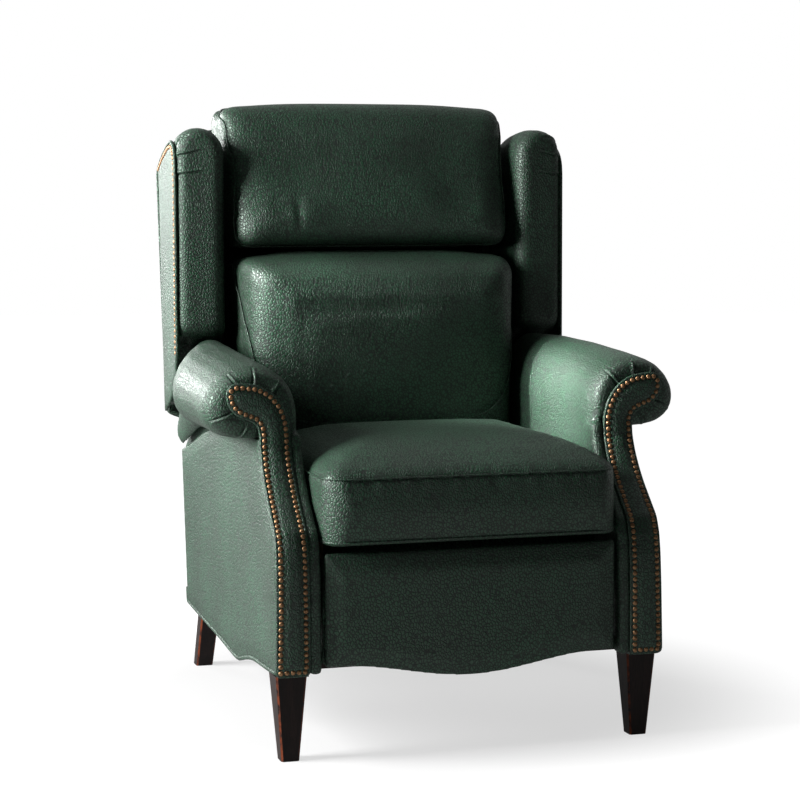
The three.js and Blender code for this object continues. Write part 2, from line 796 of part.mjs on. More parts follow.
const seatSpring = { count: 5, loops: 9, amplitude: 19, radius: 1.9, pitch: 84, drop: 6 };
const runner = { length: 210, ahead: 72, thickness: 3, height: 32 };

function makeSeat() {
  const { halfWidth, height, setBack, rearInset, rail } = seatFrame;
  const [frontY, rearY] = [front + setBack, seatRearY - rearInset];
  const outer = box(-halfWidth, halfWidth, frontY, rearY, seatFrameTop - height, seatFrameTop);
  const wellBottom = seatFrameTop - height - overrun;
  const well = box(rail - halfWidth, halfWidth - rail, frontY + rail, rearY - rail, wellBottom, seatFrameTop + overrun);
  piece("seat_frame", cut(outer, well), frameWood());

  for (let i = 0; i < seatSpring.count; i += 1) {
    const start = new THREE.Vector3(springX(i, seatSpring), frontY + rail + gap, seatFrameTop - seatSpring.drop);
    const along = new THREE.Vector3(0, rearY - frontY - 2 * (rail + gap), 0);
    piece(`seat_spring_${i + 1}`, springGeometry(start, along, seatSpring), wire());
  }

  const deckBottom = seatFrameTop + gap;
  piece("seat_deck", box(-halfWidth, halfWidth, frontY, rearY, deckBottom, deckBottom + seat.deck), deckCloth());
  piece("seat_cushion", seatCushion(), leather());
}

// Steel angles that carry the seat frame along the top edges of the side plates
function makeSeatRunners() {
  const inner = seatFrame.halfWidth + gap;
  const foot = plateTop + gap;
  const angle = [
    [inner, foot],
    [plateX + links.thickness, foot],
    [plateX + links.thickness, foot + runner.thickness],
    [inner + runner.thickness, foot + runner.thickness],
    [inner + runner.thickness, foot + runner.height],
    [inner, foot + runner.height],
  ];
  const rearY = hingeY - runner.ahead;
  pair("seat_runner", frontExtrude(angle, rearY - runner.length, rearY), steel);
}

const cushion = { corner: 26, cornerSteps: 4, sidePoints: 5, lip: 9, roundOver: 150, drawIn: 4 };
const cornerShares = { tighten: 0.33, least: 0.33 };
// The seat cushion's crown: [share of the round-over drawn in, share of the rise]
const seatCrownShares = [
  [0.1, 0.34],
  [0.3, 0.66],
  [0.6, 0.9],
  [1, 1],
];

function seatCushion() {
  const { bottom, welt, crown } = seat;
  const { lip, drawIn, corner, cornerSteps, sidePoints, roundOver } = cushion;
  const [middleY, halfY] = [(front + seatRearY) / 2, (seatRearY - front) / 2];
  const ring = (inset, z) => {
    const radius = Math.max(corner - inset * cornerShares.tighten, corner * cornerShares.least);
    const outline = roundRect(0, middleY, seatHalfWidth - inset, halfY - inset, radius, cornerSteps, sidePoints);
    return outline.map(([x, y]) => [x, y, z]);
  };
  const rings = [
    ring(lip, bottom),
    ring(drawIn, bottom + drawIn),
    ring(0, (bottom + welt) / 2),
    ring(drawIn, welt),
    ...seatCrownShares.map(([drawn, rise]) => ring(drawIn + drawn * roundOver, welt + rise * crown)),
  ];
  return loft(rings, flatTop);
}

// Back: frame, springs, cushions and the outside back

const backSpring = { count: 3, loops: 12, amplitude: 22, radius: 1.9, pitch: 140, inset: 4 };
const postInnerX = layerX(1) + links.thickness + gap;
const postOuterX = postInnerX + back.postThickness;

function makeBackFrame() {
  const { bottom, top, rail, railThickness, railRise, midBottom, wingBottom } = backFrame;
  const rearFace = rear - back.skin - gap;
  const frontFace = rearFace - back.frameDepth;
  const post = (x0) => box(x0, x0 + back.postThickness, frontFace, rearFace, bottom, top);
  const across = (half, y, z) => box(-half, half, y, y + railThickness, z, z + rail);
  const rearRail = (z) => across(wingCoreInnerX(z + rail) - gap, rearFace - railThickness, z);
  const lowRail = lowerCushion.bottom + railRise;
  const frame = join(
    post(postInnerX),
    post(-postOuterX),
    across(postOuterX, frontFace, lowRail),
    across(postOuterX, frontFace, top - rail),
    rearRail(midBottom),
    rearRail(wingBottom),
  );
  piece("back_frame", raked(frame), frameWood());

  const springFoot = lowRail + rail + gap;
  const springLength = top - rail - gap - springFoot;
  for (let i = 0; i < backSpring.count; i += 1) {
    const start = new THREE.Vector3(springX(i, backSpring), frontFace + backSpring.inset, springFoot);
    const along = new THREE.Vector3(0, 0, springLength);
    piece(`back_spring_${i + 1}`, raked(springGeometry(start, along, backSpring)), wire());
  }
}

// A wing is drawn with its outer face at x = 0 and its front edge at y = 0, then turned in toward the rear.
const wingTurn = THREE.MathUtils.degToRad(wing.toeIn);
const wingPlaced = (geometry) => geometry.clone().rotateZ(wingTurn).translate(wing.outerX, wingFrontY, 0);
const wingRearLocal = (z, spare) => (backRearY(z) - back.skin - spare - wingFrontY) / Math.cos(wingTurn);
const coreInnerLocal = -wing.skin - gap - wing.core;
const wingCoreInnerX = (z) =>
  wing.outerX + coreInnerLocal * Math.cos(wingTurn) - wingRearLocal(z, 0) * Math.sin(wingTurn);

// Padding stations: [share of length, inner width, outer loss, foot raised, top lowered], all shares of its width
const wingStationShares = [
  [0, 0.8, 0.2, 0.2, 0.2],
  [0.03, 0.93, 0.07, 0.08, 0.08],
  [0.1, 1, 0, 0.02, 0.02],
  [0.27, 1, 0, 0, 0],
  [0.42, 0.97, 0, 0, 0],
  [0.54, 0.94, 0, 0, 0],
  [0.66, 0.88, 0, 0, 0],
  [0.78, 0.8, 0, 0, 0],
  [1, 0.62, 0, 0, 0],
];
// The fall of the wing's top line: [share of the padding's length, share of the fall]
const wingTop = { front: 1042, fall: 38, archSteps: 8, footSteps: 2 };
const wingTopShares = [
  [0, 0],
  [0.3, 0],
  [0.6, 0.25],
  [1, 1],
];

// A closed arch in (x, z): a round head over straight sides and a foot with small corners
function archSection(x0, x1, foot, head) {
  const half = (x1 - x0) / 2;
  const arc = (cx, cz, radius, from, to, steps) =>
    Array.from({ length: steps + 1 }, (unused, i) => {
      const angle = mix(from, to, i / steps);
      return [cx + radius * Math.cos(angle), cz + radius * Math.sin(angle)];
    });
  const r = Math.min(wing.footRadius, half / 2);
  return [
    ...arc(x0 + half, head - half, half, 0, Math.PI, wingTop.archSteps),
    ...arc(x0 + r, foot + r, r, Math.PI, 1.5 * Math.PI, wingTop.footSteps),
    ...arc(x1 - r, foot + r, r, 1.5 * Math.PI, 2 * Math.PI, wingTop.footSteps),
  ];
}

function wingSection([length, inner, outer, footIn, topIn]) {
  const y = length * wing.length;
  const foot = rollTopZ(wingFrontY + y) + runningGap + footIn * wing.width;
  const head = wingTop.front - wingTop.fall * lookUp(wingTopShares, length) - topIn * wing.width;
  const section = archSection(-inner * wing.width, -outer * wing.width, foot, head);
  return section.map(([x, z]) => [x, y, z]);
}

// The outside wing panel from the side. The upper line's shares are [of the way to the crest, of the rise],
// then [of the way from the crest to the rear, of the fall]. The lower line's are [of length, of height].
const wingPanel = { setBack: 8, tip: 503, foot: 632, shoulder: 955, crest: 1016, rearTop: 974, crestSetBack: 92 };
const panelRiseShares = [
  [0, 0],
  [0.06, 0.5],
  [0.35, 0.88],
  [1, 1],
];
const panelFallShares = [0.6, 0.48];
const panelSweepShares = [
  [0.62, 0.2],
  [0.3, 0.42],
  [0.1, 0.64],
  [0, 1],
];
const panelPoints = { upper: 14, lower: 12 };

function wingUpperLine(frontInset, edgeInset) {
  const { setBack, shoulder, crest, rearTop, crestSetBack } = wingPanel;
  const [high, low] = [crest - edgeInset, rearTop - edgeInset];
  const crestY = crestSetBack + frontInset;
  const line = [
    ...panelRiseShares.map(([u, v]) => [mix(setBack + frontInset, crestY, u), mix(shoulder, high, v)]),
    [mix(crestY, wingRearLocal(low, gap), panelFallShares[0]), mix(high, low, panelFallShares[1])],
    [wingRearLocal(low, gap), low],
  ];
  return smooth(line, panelPoints.upper);
}

function wingPanelOutline() {
  const { setBack, tip, foot } = wingPanel;
  const rearLow = wingRearLocal(tip, gap);
  const sweep = panelSweepShares.map(([u, v]) => [mix(setBack, rearLow, u), mix(tip, foot, v)]);
  return [...wingUpperLine(0, 0), ...smooth([[rearLow, tip], ...sweep], panelPoints.lower)];
}

// The core's lower edge follows the arm roll that it passes, as the padding's foot does.
function wingCoreOutline(grow) {
  const frontY = wing.coreInset - grow;
  const upper = wingUpperLine(frontY - wingPanel.setBack, wing.edgeInset - grow);
  const footZ = (y) => rollTopZ(wingFrontY + y) + runningGap + wing.edgeInset - grow;
  const rearLow = wingRearLocal(wingPanel.tip, gap);
  const lower = Array.from({ length: wing.footPoints + 1 }, (unused, i) => {
    const y = mix(rearLow, frontY, i / wing.footPoints);
    return [y, footZ(y)];
  });
  return [...upper, ...lower];
}

function makeWings() {
  const body = loft(wingStationShares.map(wingSection), flatFront);
  const skinFront = wingPanel.setBack - gap;
  const skinSlot = box(-wing.skin - gap, overrun, skinFront, rear, wingPanel.tip, wingTop.front + overrun);
  const coreSlot = sideExtrude(wingCoreOutline(gap), coreInnerLocal - gap, overrun);
  const belowCore = box(coreInnerLocal - gap, overrun, wing.coreInset, rear, wingPanel.tip, wingPanel.foot);
  pair("wing_pad", wingPlaced(cut(body, skinSlot, coreSlot, belowCore)), leather);
  pair("wing_outside_panel", wingPlaced(sideExtrude(wingPanelOutline(), -wing.skin, 0)), leather);
  pair("wing_core", wingPlaced(sideExtrude(wingCoreOutline(0), coreInnerLocal, -wing.skin - gap)), plywood);
}

// The outside back: wide between the wings, narrow between the arms
const outsideBack = { stepZ: 470, stepTop: 500, shoulder: 968, corner: 60 };
// Its top corners: [share of the corner's width drawn in, share of the way from the shoulder to the top]
const topCornerShares = [
  [0, 0],
  [0.3, 0.5],
  [1, 0.9],
  [2, 1],
];

function makeOutsideBack() {
  const { stepZ, stepTop, shoulder, corner } = outsideBack;
  const narrowX = rearLegInnerX - back.sideGap;
  const sideX = wing.outerX - wingRearLocal(shoulder, 0) * Math.sin(wingTurn) - gap;
  const half = [
    [narrowX, back.foot],
    [narrowX, stepZ],
    [sideX, stepTop],
    ...topCornerShares.map(([drawn, rise]) => [sideX - drawn * corner, mix(shoulder, overall.backTop, rise)]),
  ];
  const outline = [...half, ...half.map(([x, z]) => [-x, z]).reverse()];
  piece("outside_back", raked(frontExtrude(outline, rear - back.skin, rear)), leather());
}

// A plump back cushion: boxing behind, then a crowned front. Its crown: [share drawn in, share of the rise]
const backCrownShares = [
  [0.03, 0.4],
  [0.1, 0.66],
  [0.25, 0.88],
  [0.5, 0.97],
  [1, 1],
];
const boxingShare = 0.6; // of the way from the cushion's rear to its front welt

function plumpCushion({ bottom, top, halfBottom, halfTop, edge, crown, lean, roundOver }) {
  const { lip, drawIn, corner, cornerSteps, sidePoints } = cushion;
  const [middleZ, halfZ] = [(bottom + top) / 2, (top - bottom) / 2];
  const rearDepth = back.skin + gap + back.frameDepth + seam;
  const ring = (inset, depth, rise = 0) => {
    const outline = roundRect(0, middleZ, halfTop - inset, halfZ - inset, corner, cornerSteps, sidePoints);
    return outline.map(([x, z]) => {
      const widthShare = mix(halfBottom, halfTop, (z - bottom) / (top - bottom)) / halfTop;
      return [x * widthShare, rear - depth - rise * (crown - lean * ((z - middleZ) / halfZ)), z];
    });
  };
  const rings = [
    ring(lip, rearDepth),
    ring(0, rearDepth + lip),
    ring(drawIn, mix(rearDepth, edge, boxingShare)),
    ring(0, edge),
    ...backCrownShares.map(([drawn, rise]) => ring(drawn * roundOver, edge, rise)),
  ];
  return raked(loft(rings, flatFront));
}

function makeBackCushions() {
  piece("lower_back_cushion", plumpCushion(lowerCushion), leather());
  piece("head_pillow", plumpCushion(headPillow), leather());
}

makeLegs();
makeArmFrames();
makeArmFronts();
makeArmPads();
makeArmRolls();
makeOutsideArms();
makeRails();
makePlates();
makeHingeBrackets();
makeLinks();
makeFootrest();
makeSeat();
makeSeatRunners();
makeBackFrame();
makeWings();
makeOutsideBack();
makeBackCushions();

export default chair;
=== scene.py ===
# %% [markdown]
# # A push-back wingback recliner in green leather
#
# The chair is a hardwood frame with steel works inside, padded and covered in leather, with rows of domed nails on
# its arm fronts and wings. The solid model gives every piece its size and place. This script keeps that frame and
# gives each piece its surface: cushions that swell between their seams, leather that is pulled and pleated over the
# arms and wings, welts, stitches, nails, and materials built from nodes.
#
# The numbers are metres. The sitter faces -Y, and the picture's left is -X.

# %% Load the frame and keep its box
import math
import bmesh
import bpy
import numpy as np
from mathutils import Matrix, Vector
from mathutils.bvhtree import BVHTree


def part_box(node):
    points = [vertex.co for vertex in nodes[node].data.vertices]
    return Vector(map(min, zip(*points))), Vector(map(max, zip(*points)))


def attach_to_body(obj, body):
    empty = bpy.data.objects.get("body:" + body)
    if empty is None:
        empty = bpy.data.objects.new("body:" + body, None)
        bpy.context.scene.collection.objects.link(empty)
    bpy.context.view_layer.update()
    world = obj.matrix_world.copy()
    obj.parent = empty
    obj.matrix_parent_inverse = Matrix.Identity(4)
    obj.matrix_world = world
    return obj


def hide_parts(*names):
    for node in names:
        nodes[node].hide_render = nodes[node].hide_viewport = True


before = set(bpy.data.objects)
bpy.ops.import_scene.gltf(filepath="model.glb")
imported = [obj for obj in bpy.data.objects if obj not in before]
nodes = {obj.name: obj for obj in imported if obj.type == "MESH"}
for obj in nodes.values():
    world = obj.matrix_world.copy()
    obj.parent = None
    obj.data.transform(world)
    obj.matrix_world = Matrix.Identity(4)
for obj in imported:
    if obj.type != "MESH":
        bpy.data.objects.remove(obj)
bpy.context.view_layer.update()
scene = bpy.context.scene
SIDES = {"left": 1, "right": -1}  # the sitter's own left side lies on +X

# %% [markdown]
# ## Camera
#
# A product photograph is taken from a little above the seat with a long lens, which keeps the uprights nearly
# parallel. The camera could be aimed with a tracking constraint, but three axes written into its matrix keep the
# slight roll of the real one, and need nothing else in the scene.

# %% Place the camera
CAMERA_PLACE = Vector((-1.1654, -3.8571, 0.9080))
CAMERA_AIM = Vector((-0.0371, -0.1552, 0.5597))
CAMERA_ROLL = math.radians(-0.178)
FOCAL_LENGTH = 99.9


def place_camera():
    ahead = (CAMERA_AIM - CAMERA_PLACE).normalized()
    right = ahead.cross(Vector((0, 0, 1))).normalized()
    up = right.cross(ahead)
    turn, rise = math.cos(CAMERA_ROLL), math.sin(CAMERA_ROLL)
    axes = Matrix((right * turn + up * rise, up * turn - right * rise, -ahead)).transposed()
    data = bpy.data.cameras.new("photo_camera")
    data.lens = FOCAL_LENGTH
    camera = bpy.data.objects.new("photo_camera", data)
    scene.collection.objects.link(camera)
    camera.matrix_world = Matrix.Translation(CAMERA_PLACE) @ axes.to_4x4()
    scene.camera = camera
    return camera


camera = place_camera()
print("camera at", tuple(round(v, 3) for v in camera.location))

# %% [markdown]
# ## Helpers for materials
#
# Every material here is a small tree of nodes. A tree can be wired by hand in the shader editor, or written line by
# line. One function that adds a node, sets it and links it keeps the written form as short as the drawn one. The
# short functions after it add the few kinds that come up again and again, and give back what they put out.

# %% Add a node, and start a material


def add(tree, kind, links=None, **settings):
    made = tree.nodes.new(kind)
    for name, value in settings.items():
        setattr(made, name, value)
    for socket, source in (links or {}).items():
        if isinstance(source, bpy.types.NodeSocket):
            tree.links.new(source, made.inputs[socket])
        else:
            made.inputs[socket].default_value = source
    return made


def linear(code):
    """An sRGB hex colour as the linear RGBA that nodes take."""
    parts = [int(code[i : i + 2], 16) / 255 for i in (1, 3, 5)]
    return (*[p / 12.92 if p <= 0.04045 else ((p + 0.055) / 1.055) ** 2.4 for p in parts], 1.0)


def noise(tree, place, scale, detail, **more):
    links = {"Vector": place, "Scale": scale, "Detail": detail, **more}
    return add(tree, "ShaderNodeTexNoise", links).outputs["Fac"]


def mapped(tree, value, low=0.0, high=1.0, to=(0.0, 1.0), **settings):
    """A value stretched from the range low to high onto another."""
    links = {"Value": value, "From Min": low, "From Max": high, "To Min": to[0], "To Max": to[1]}
    return add(tree, "ShaderNodeMapRange", links, **settings).outputs[0]


def reckoned(tree, operation, *values):
    return add(tree, "ShaderNodeMath", dict(enumerate(values)), operation=operation).outputs[0]


def mixed(tree, share, first, second):
    return add(tree, "ShaderNodeMix", {"Factor": share, 2: first, 3: second}).outputs[0]


def mixed_colour(tree, share, first, second):
    """Each colour is a socket or a hex code."""
    first, second = (linear(c) if isinstance(c, str) else c for c in (first, second))
    return add(tree, "ShaderNodeMix", {"Factor": share, 6: first, 7: second}, data_type="RGBA").outputs[2]


def bumped(tree, height, strength, distance):
    links = {"Strength": strength, "Distance": distance, "Height": height}
    return add(tree, "ShaderNodeBump", links).outputs[0]


def blank_material(name):
    """A material, its empty tree, and the place on the object that every texture here is drawn by."""
    material = bpy.data.materials.new(name)
    material.use_nodes = True
    tree = material.node_tree
    tree.nodes.clear()
    return material, tree, add(tree, "ShaderNodeTexCoord").outputs["Object"]


def finish_material(tree, links):
    shader = add(tree, "ShaderNodeBsdfPrincipled", links)
    add(tree, "ShaderNodeOutputMaterial", {"Surface": shader.outputs[0]})


print("a written colour as linear light:", [round(v, 3) for v in linear("#2f4a3d")])

# %% [markdown]
# ## Leather
#
# The cover is full-grain cowhide, semi-aniline dyed a deep bottle green and milled in a drum, which raises a soft
# pebble of about 5 mm with thin creases between. It could be an image texture, but the pieces have no common
# unwrapping. Voronoi cells on the object's own coordinates, bent by a little noise, give pebbles of one size on
# every piece. The creases are duller than the pebbles, and their colour falls to black: partly the dye gathered in
# them and partly painted shade. A thin clear topcoat gives the soft gloss, and broad noise gives the dye's
# cloudiness.

# %% Pebbled leather
PEBBLE = 0.0050  # across one raised cell of the milled grain
STRETCH = 0.8  # the cells are longer up and down, as the hide was hung
CREASE = 0.24  # of a cell, over which it falls into the crease
CREASE_ROUGHNESS = 0.7
PORE_HEIGHT = 0.08  # beside a pebble's height of 1
GRAIN_DEPTH = 0.0007
CLOUD = 0.16  # across one cloud of the dye
DYE = ("#11341f", "#1f4b32")


def leather_material():
    material, tree, place = blank_material("milled_semi_aniline_leather")
    wander = add(tree, "ShaderNodeTexNoise", {"Vector": place, "Scale": 0.4 / PEBBLE, "Detail": 2.0})
    bend = {0: wander.outputs["Color"], 1: (0.9 * PEBBLE,) * 3, 2: place}
    bent = add(tree, "ShaderNodeVectorMath", bend, operation="MULTIPLY_ADD").outputs[0]
    long = add(tree, "ShaderNodeMapping", {"Vector": bent, "Scale": (1, 1, STRETCH)}).outputs[0]
    cells = add(tree, "ShaderNodeTexVoronoi", {"Vector": long, "Scale": 1 / PEBBLE}, feature="DISTANCE_TO_EDGE")
    pebble = mapped(tree, cells.outputs["Distance"], 0.0, CREASE, interpolation_type="SMOOTHSTEP")
    pores = noise(tree, place, 3.2 / PEBBLE, 3.0)
    height = reckoned(tree, "MULTIPLY_ADD", pores, PORE_HEIGHT, pebble)
    cloud = mapped(tree, noise(tree, place, 1 / CLOUD, 4.0, Roughness=0.6), 0.34, 0.68)
    # Painted shade in the creases: the dye's colour is scaled from black there up to 1.15 on the pebbles, partly for
    # the dye gathered in the creases and partly for their shade.
    shade = {0: mixed_colour(tree, cloud, *DYE), "Scale": mapped(tree, pebble, to=(0.0, 1.15))}
    gloss = mixed(tree, pebble, CREASE_ROUGHNESS, mapped(tree, cloud, to=(0.41, 0.49)))
    finish_material(
        tree,
        {
            "Base Color": add(tree, "ShaderNodeVectorMath", shade, operation="SCALE").outputs[0],
            "Roughness": gloss,
            "Specular IOR Level": 1.0,
            "Specular Tint": linear("#e0f0e6"),
            "Coat Weight": 0.05,
            "Coat Roughness": 0.32,
            "Normal": bumped(tree, height, 0.75, GRAIN_DEPTH),
        },
    )
    return material


leather = leather_material()
print("leather:", len(leather.node_tree.nodes), "nodes")

# %% [markdown]
# ## Wood, steel and the rest
#
# The legs are stained espresso, then rubbed through on their edges to a red brown. The frame inside is plain
# kiln-dried hardwood and plywood, which nobody polishes. The works are stamped steel with black paint. Wood grain
# could be a wave texture, but stretched noise looks less ruled. The rubbed edges are found by the direction of the
# chamfers, which are the only faces on a leg that look halfway between two sides.

# %% Stained and raw wood
GRAIN = 0.0016  # between two dark lines of pore
GRAIN_STRETCH = 22  # the lines' length beside their width


def wood_material(name, colours, roughness, along, rubbed=None, specular=0.5):
    """colours are the dark and the light of the grain, and along is the axis it runs along."""
    material, tree, place = blank_material(name)
    stretch = [1 / GRAIN / 6] * 3
    stretch[along] /= GRAIN_STRETCH
    fibre = add(tree, "ShaderNodeMapping", {"Vector": place, "Scale": stretch}).outputs[0]
    pore = noise(tree, fibre, 6.0, 5.0, Roughness=0.62)
    figure = noise(tree, fibre, 0.9, 3.0, Distortion=0.6)
    colour = mixed_colour(tree, mapped(tree, reckoned(tree, "MULTIPLY", pore, figure), 0.12, 0.40), *colours)
    if rubbed:
        normal = add(tree, "ShaderNodeNewGeometry").outputs["True Normal"]
        facing = add(tree, "ShaderNodeSeparateXYZ", {0: normal}).outputs
        edge = reckoned(tree, "ABSOLUTE", reckoned(tree, "MULTIPLY", facing[0], facing[1]))
        patchy = mapped(tree, noise(tree, place, 70.0, 3.0), 0.36, 0.56)
        amount = reckoned(tree, "MULTIPLY", patchy, mapped(tree, edge, 0.2, 0.4, (0.0, 0.9)))
        colour = mixed_colour(tree, amount, colour, rubbed)
    links = {"Base Color": colour, "Roughness": roughness, "Specular IOR Level": specular}
    finish_material(tree, {**links, "Normal": bumped(tree, pore, 0.25, 0.0004)})
    return material


UPRIGHT, FORE_AND_AFT = 2, 1
espresso = wood_material(
    "espresso_stained_hardwood", ["#150f0e", "#2b1e1b"], 0.5, UPRIGHT, rubbed="#7a3a20", specular=0.22
)
hardwood = wood_material("kiln_dried_frame_hardwood", ["#9a7347", "#c9a576"], 0.62, FORE_AND_AFT)
plywood = wood_material("birch_plywood", ["#a98a5e", "#d2b788"], 0.66, FORE_AND_AFT)
print("woods:", espresso.name, hardwood.name, plywood.name)

# %% Steel, spring wire, thread and nail brass


def mottled_material(name, dark, light, patch, roughness, metallic=0.0, bump=0.0):
    """An even finish with soft patches of the given size, for paint, wire, thread and cast or spun metal."""
    material, tree, place = blank_material(name)
    patches = noise(tree, place, 1 / patch, 4.0)
    links = {
        "Base Color": mixed_colour(tree, mapped(tree, patches, 0.35, 0.65), dark, light),
        "Roughness": mapped(tree, patches, to=roughness),
        "Metallic": metallic,
        "Normal": bumped(tree, patches, 0.4, bump),
    }
    finish_material(tree, links)
    return material


# Stoved black paint on stamped steel: dark, a little orange-peeled.
black_steel = mottled_material("black_painted_steel", "#141516", "#212326", 0.004, (0.32, 0.46), bump=0.00015)
# Drawn and oil-tempered spring wire: a real metal with a grey-brown bloom.
spring_wire = mottled_material("oil_tempered_spring_wire", "#55504a", "#7d776e", 0.003, (0.3, 0.5), metallic=1.0)
# Domed nails in antiqued brass: spun metal, darkened in the hollows, bright where it has been rubbed.
antique_brass = mottled_material(
    "antiqued_brass_nail", "#74543a", "#b08a64", 0.003, (0.42, 0.56), metallic=0.75, bump=0.0001
)
# Waxed polyester thread, a shade darker than the hide.
thread = mottled_material("waxed_polyester_thread", "#182a20", "#25402f", 0.002, (0.5, 0.7))
print("metals and thread:", black_steel.name, spring_wire.name, antique_brass.name, thread.name)

# %% [markdown]
# The seat deck and the inside of the back are covered with a plain black cambric, a tight cotton cloth. Two wave
# textures across each other give its threads, drawn at 1.6 mm, coarser than the real 0.5 mm so that they show.

# %% Woven cambric
THREAD_PITCH = 0.0016


def cambric_material():
    material, tree, place = blank_material("black_cotton_cambric")
    waves = {"Vector": place, "Scale": 1 / THREAD_PITCH / 6.28, "Distortion": 0.4, "Detail": 1.0}
    warp = add(tree, "ShaderNodeTexWave", waves, bands_direction="X").outputs["Fac"]
    weft = add(tree, "ShaderNodeTexWave", waves, bands_direction="DIAGONAL").outputs["Fac"]
    weave = reckoned(tree, "MULTIPLY", warp, weft)
    links = {"Base Color": mixed_colour(tree, weave, "#101211", "#262b29"), "Roughness": 0.9}
    finish_material(tree, {**links, "Normal": bumped(tree, weave, 0.5, 0.0004)})
    return material


cambric = cambric_material()
print("cloth:", cambric.name)

# %% [markdown]
# ## The solids that stay
#
# Legs, frames, works and springs have the right shape already, so they keep it and only get their finish.

# %% Dress the solids
STEEL_PARTS = ("side_plate", "back_hinge_bracket", "long_link", "crossing_link", "control_link", "short_link",
               "torque_tube", "footrest_bracket", "seat_runner")
FINISHES = [
    (espresso, ("leg", "front_stretcher", "rear_stretcher")),
    (hardwood, ("arm_frame", "side_rail", "seat_frame", "back_frame")),
    (plywood, ("wing_core", "footrest_board")),
    (black_steel, STEEL_PARTS),
    (spring_wire, ("seat_spring", "back_spring")),
    (cambric, ("seat_deck",)),
]

dressed = 0
for name, solid in nodes.items():
    for material, starts in FINISHES:
        if name.startswith(starts):
            solid.data.materials.clear()
            solid.data.materials.append(material)
            dressed += 1
print("solids dressed:", dressed)

# %% [markdown]
# ## Helpers for soft shapes
#
# Upholstery starts from the solid of the same piece. A voxel remesh turns its few large facets into an even net of
# small squares, which can be smoothed, folded and blown up. The other way, subdividing the facets, keeps their
# slivers and shows them as streaks. The numbers of a mesh are read and written in one go with numpy.

# %% Read, write and make meshes


def coordinates(mesh):
    flat = np.empty(len(mesh.vertices) * 3, np.float64)
    mesh.vertices.foreach_get("co", flat)
    return flat.reshape(-1, 3)


def set_coordinates(mesh, points):
    mesh.vertices.foreach_set("co", np.ascontiguousarray(points, np.float32).ravel())
    mesh.update()


def vertex_normals(mesh):
    return np.array([v.vector for v in mesh.vertex_normals])


def edge_ends(mesh):
    flat = np.empty(len(mesh.edges) * 2, np.int32)
    mesh.edges.foreach_get("vertices", flat)
    return flat.reshape(-1, 2)


def kept_mesh(net, name):
    """A bmesh turned into a mesh."""
    mesh = bpy.data.meshes.new(name)
    net.to_mesh(mesh)
    net.free()
    return mesh


def new_piece(name, mesh, material):
    mesh.name = name
    piece = bpy.data.objects.new(name, mesh)
    scene.collection.objects.link(piece)
    piece.data.materials.clear()
    piece.data.materials.append(material)
    return piece


def attach(piece, body, *solids, fill=None):
    """Lets a leather piece ride on a body and stand for solids. fill, how much of it is padding, is not used."""
    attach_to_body(piece, body)
    if solids:
        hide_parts(*solids)


def merged_mesh(*names, grow=0.0):
    """The named solids as one mesh with their corners merged, grown a little along their normals."""
    whole = bmesh.new()
    for name in names:
        one = bmesh.new()
        one.from_mesh(nodes[name].data)
        bmesh.ops.remove_doubles(one, verts=one.verts, dist=1e-5)
        one.normal_update()
        for v in one.verts:
            v.co += v.normal * grow
        mesh = kept_mesh(one, "part")
        whole.from_mesh(mesh)
        bpy.data.meshes.remove(mesh)
    return kept_mesh(whole, "joined")


def evaluated_mesh(piece):
    graph = bpy.context.evaluated_depsgraph_get()
    return bpy.data.meshes.new_from_object(piece.evaluated_get(graph))


def voxel_mesh(mesh, voxel):
    """The mesh as an even net of quads."""
    holder = bpy.data.objects.new("holder", mesh)
    scene.collection.objects.link(holder)
    remesh = holder.modifiers.new("Remesh", "REMESH")
    remesh.mode = "VOXEL"
    remesh.voxel_size = voxel
    net = evaluated_mesh(holder)
    bpy.data.objects.remove(holder)
    return net


TAUBIN = (0.6, -0.62)  # a step in and a step out, which evens the net and keeps its volume


def smoothed(points, edges, rounds, hold=None, steps=TAUBIN):
    """Moves each point toward the mean of its neighbours, by each step in turn."""
    ends = np.concatenate([edges, edges[:, ::-1]])
    count = np.maximum(np.bincount(ends[:, 0], minlength=len(points)), 1)[:, None]
    points = points.copy()
    for _ in range(rounds):
        for step in steps:
            around = [np.bincount(ends[:, 0], points[ends[:, 1], k], len(points)) for k in range(3)]
            move = (np.stack(around, 1) / count - points) * step
            if hold is not None:
                move *= (1 - hold)[:, None]
            points += move
    return points


def soft_form(name, solids, voxel, rounds, grow=0.0):
    """A new leather piece with the form of some solids, evened and smoothed."""
    net = voxel_mesh(merged_mesh(*solids, grow=grow), voxel)
    set_coordinates(net, smoothed(coordinates(net), edge_ends(net), rounds))
    piece = new_piece(name, net, leather)
    net.shade_smooth()
    return piece


def bevelled_block(name, low, high, bevel):
    """A leather block between two corners, with its edges rounded."""
    net = bmesh.new()
    bmesh.ops.create_cube(net, size=1)
    for v in net.verts:
        v.co = [high[k] if v.co[k] > 0 else low[k] for k in range(3)]
    bmesh.ops.bevel(net, geom=net.edges[:], offset=bevel, segments=3, affect="EDGES")
    piece = new_piece(name, kept_mesh(net, name), leather)
    piece.data.shade_smooth()
    return piece


def smoothstep(low, high, x):
    t = np.clip((x - low) / (high - low), 0, 1)
    return t * t * (3 - 2 * t)


def hump(distance, width):
    """1 at no distance, falling to 0 over a width."""
    return np.exp(-((distance / width) ** 2))


# %% [markdown]
# Welts, seams and nails follow lines on the chair: the rim of a panel, or a cut through a cushion. Both are found on
# the meshes rather than typed, so that they lie where the pieces do. A welt is a thin round cord sewn into the
# leather, and here it is a tube along the line.

# %% Find lines on the pieces


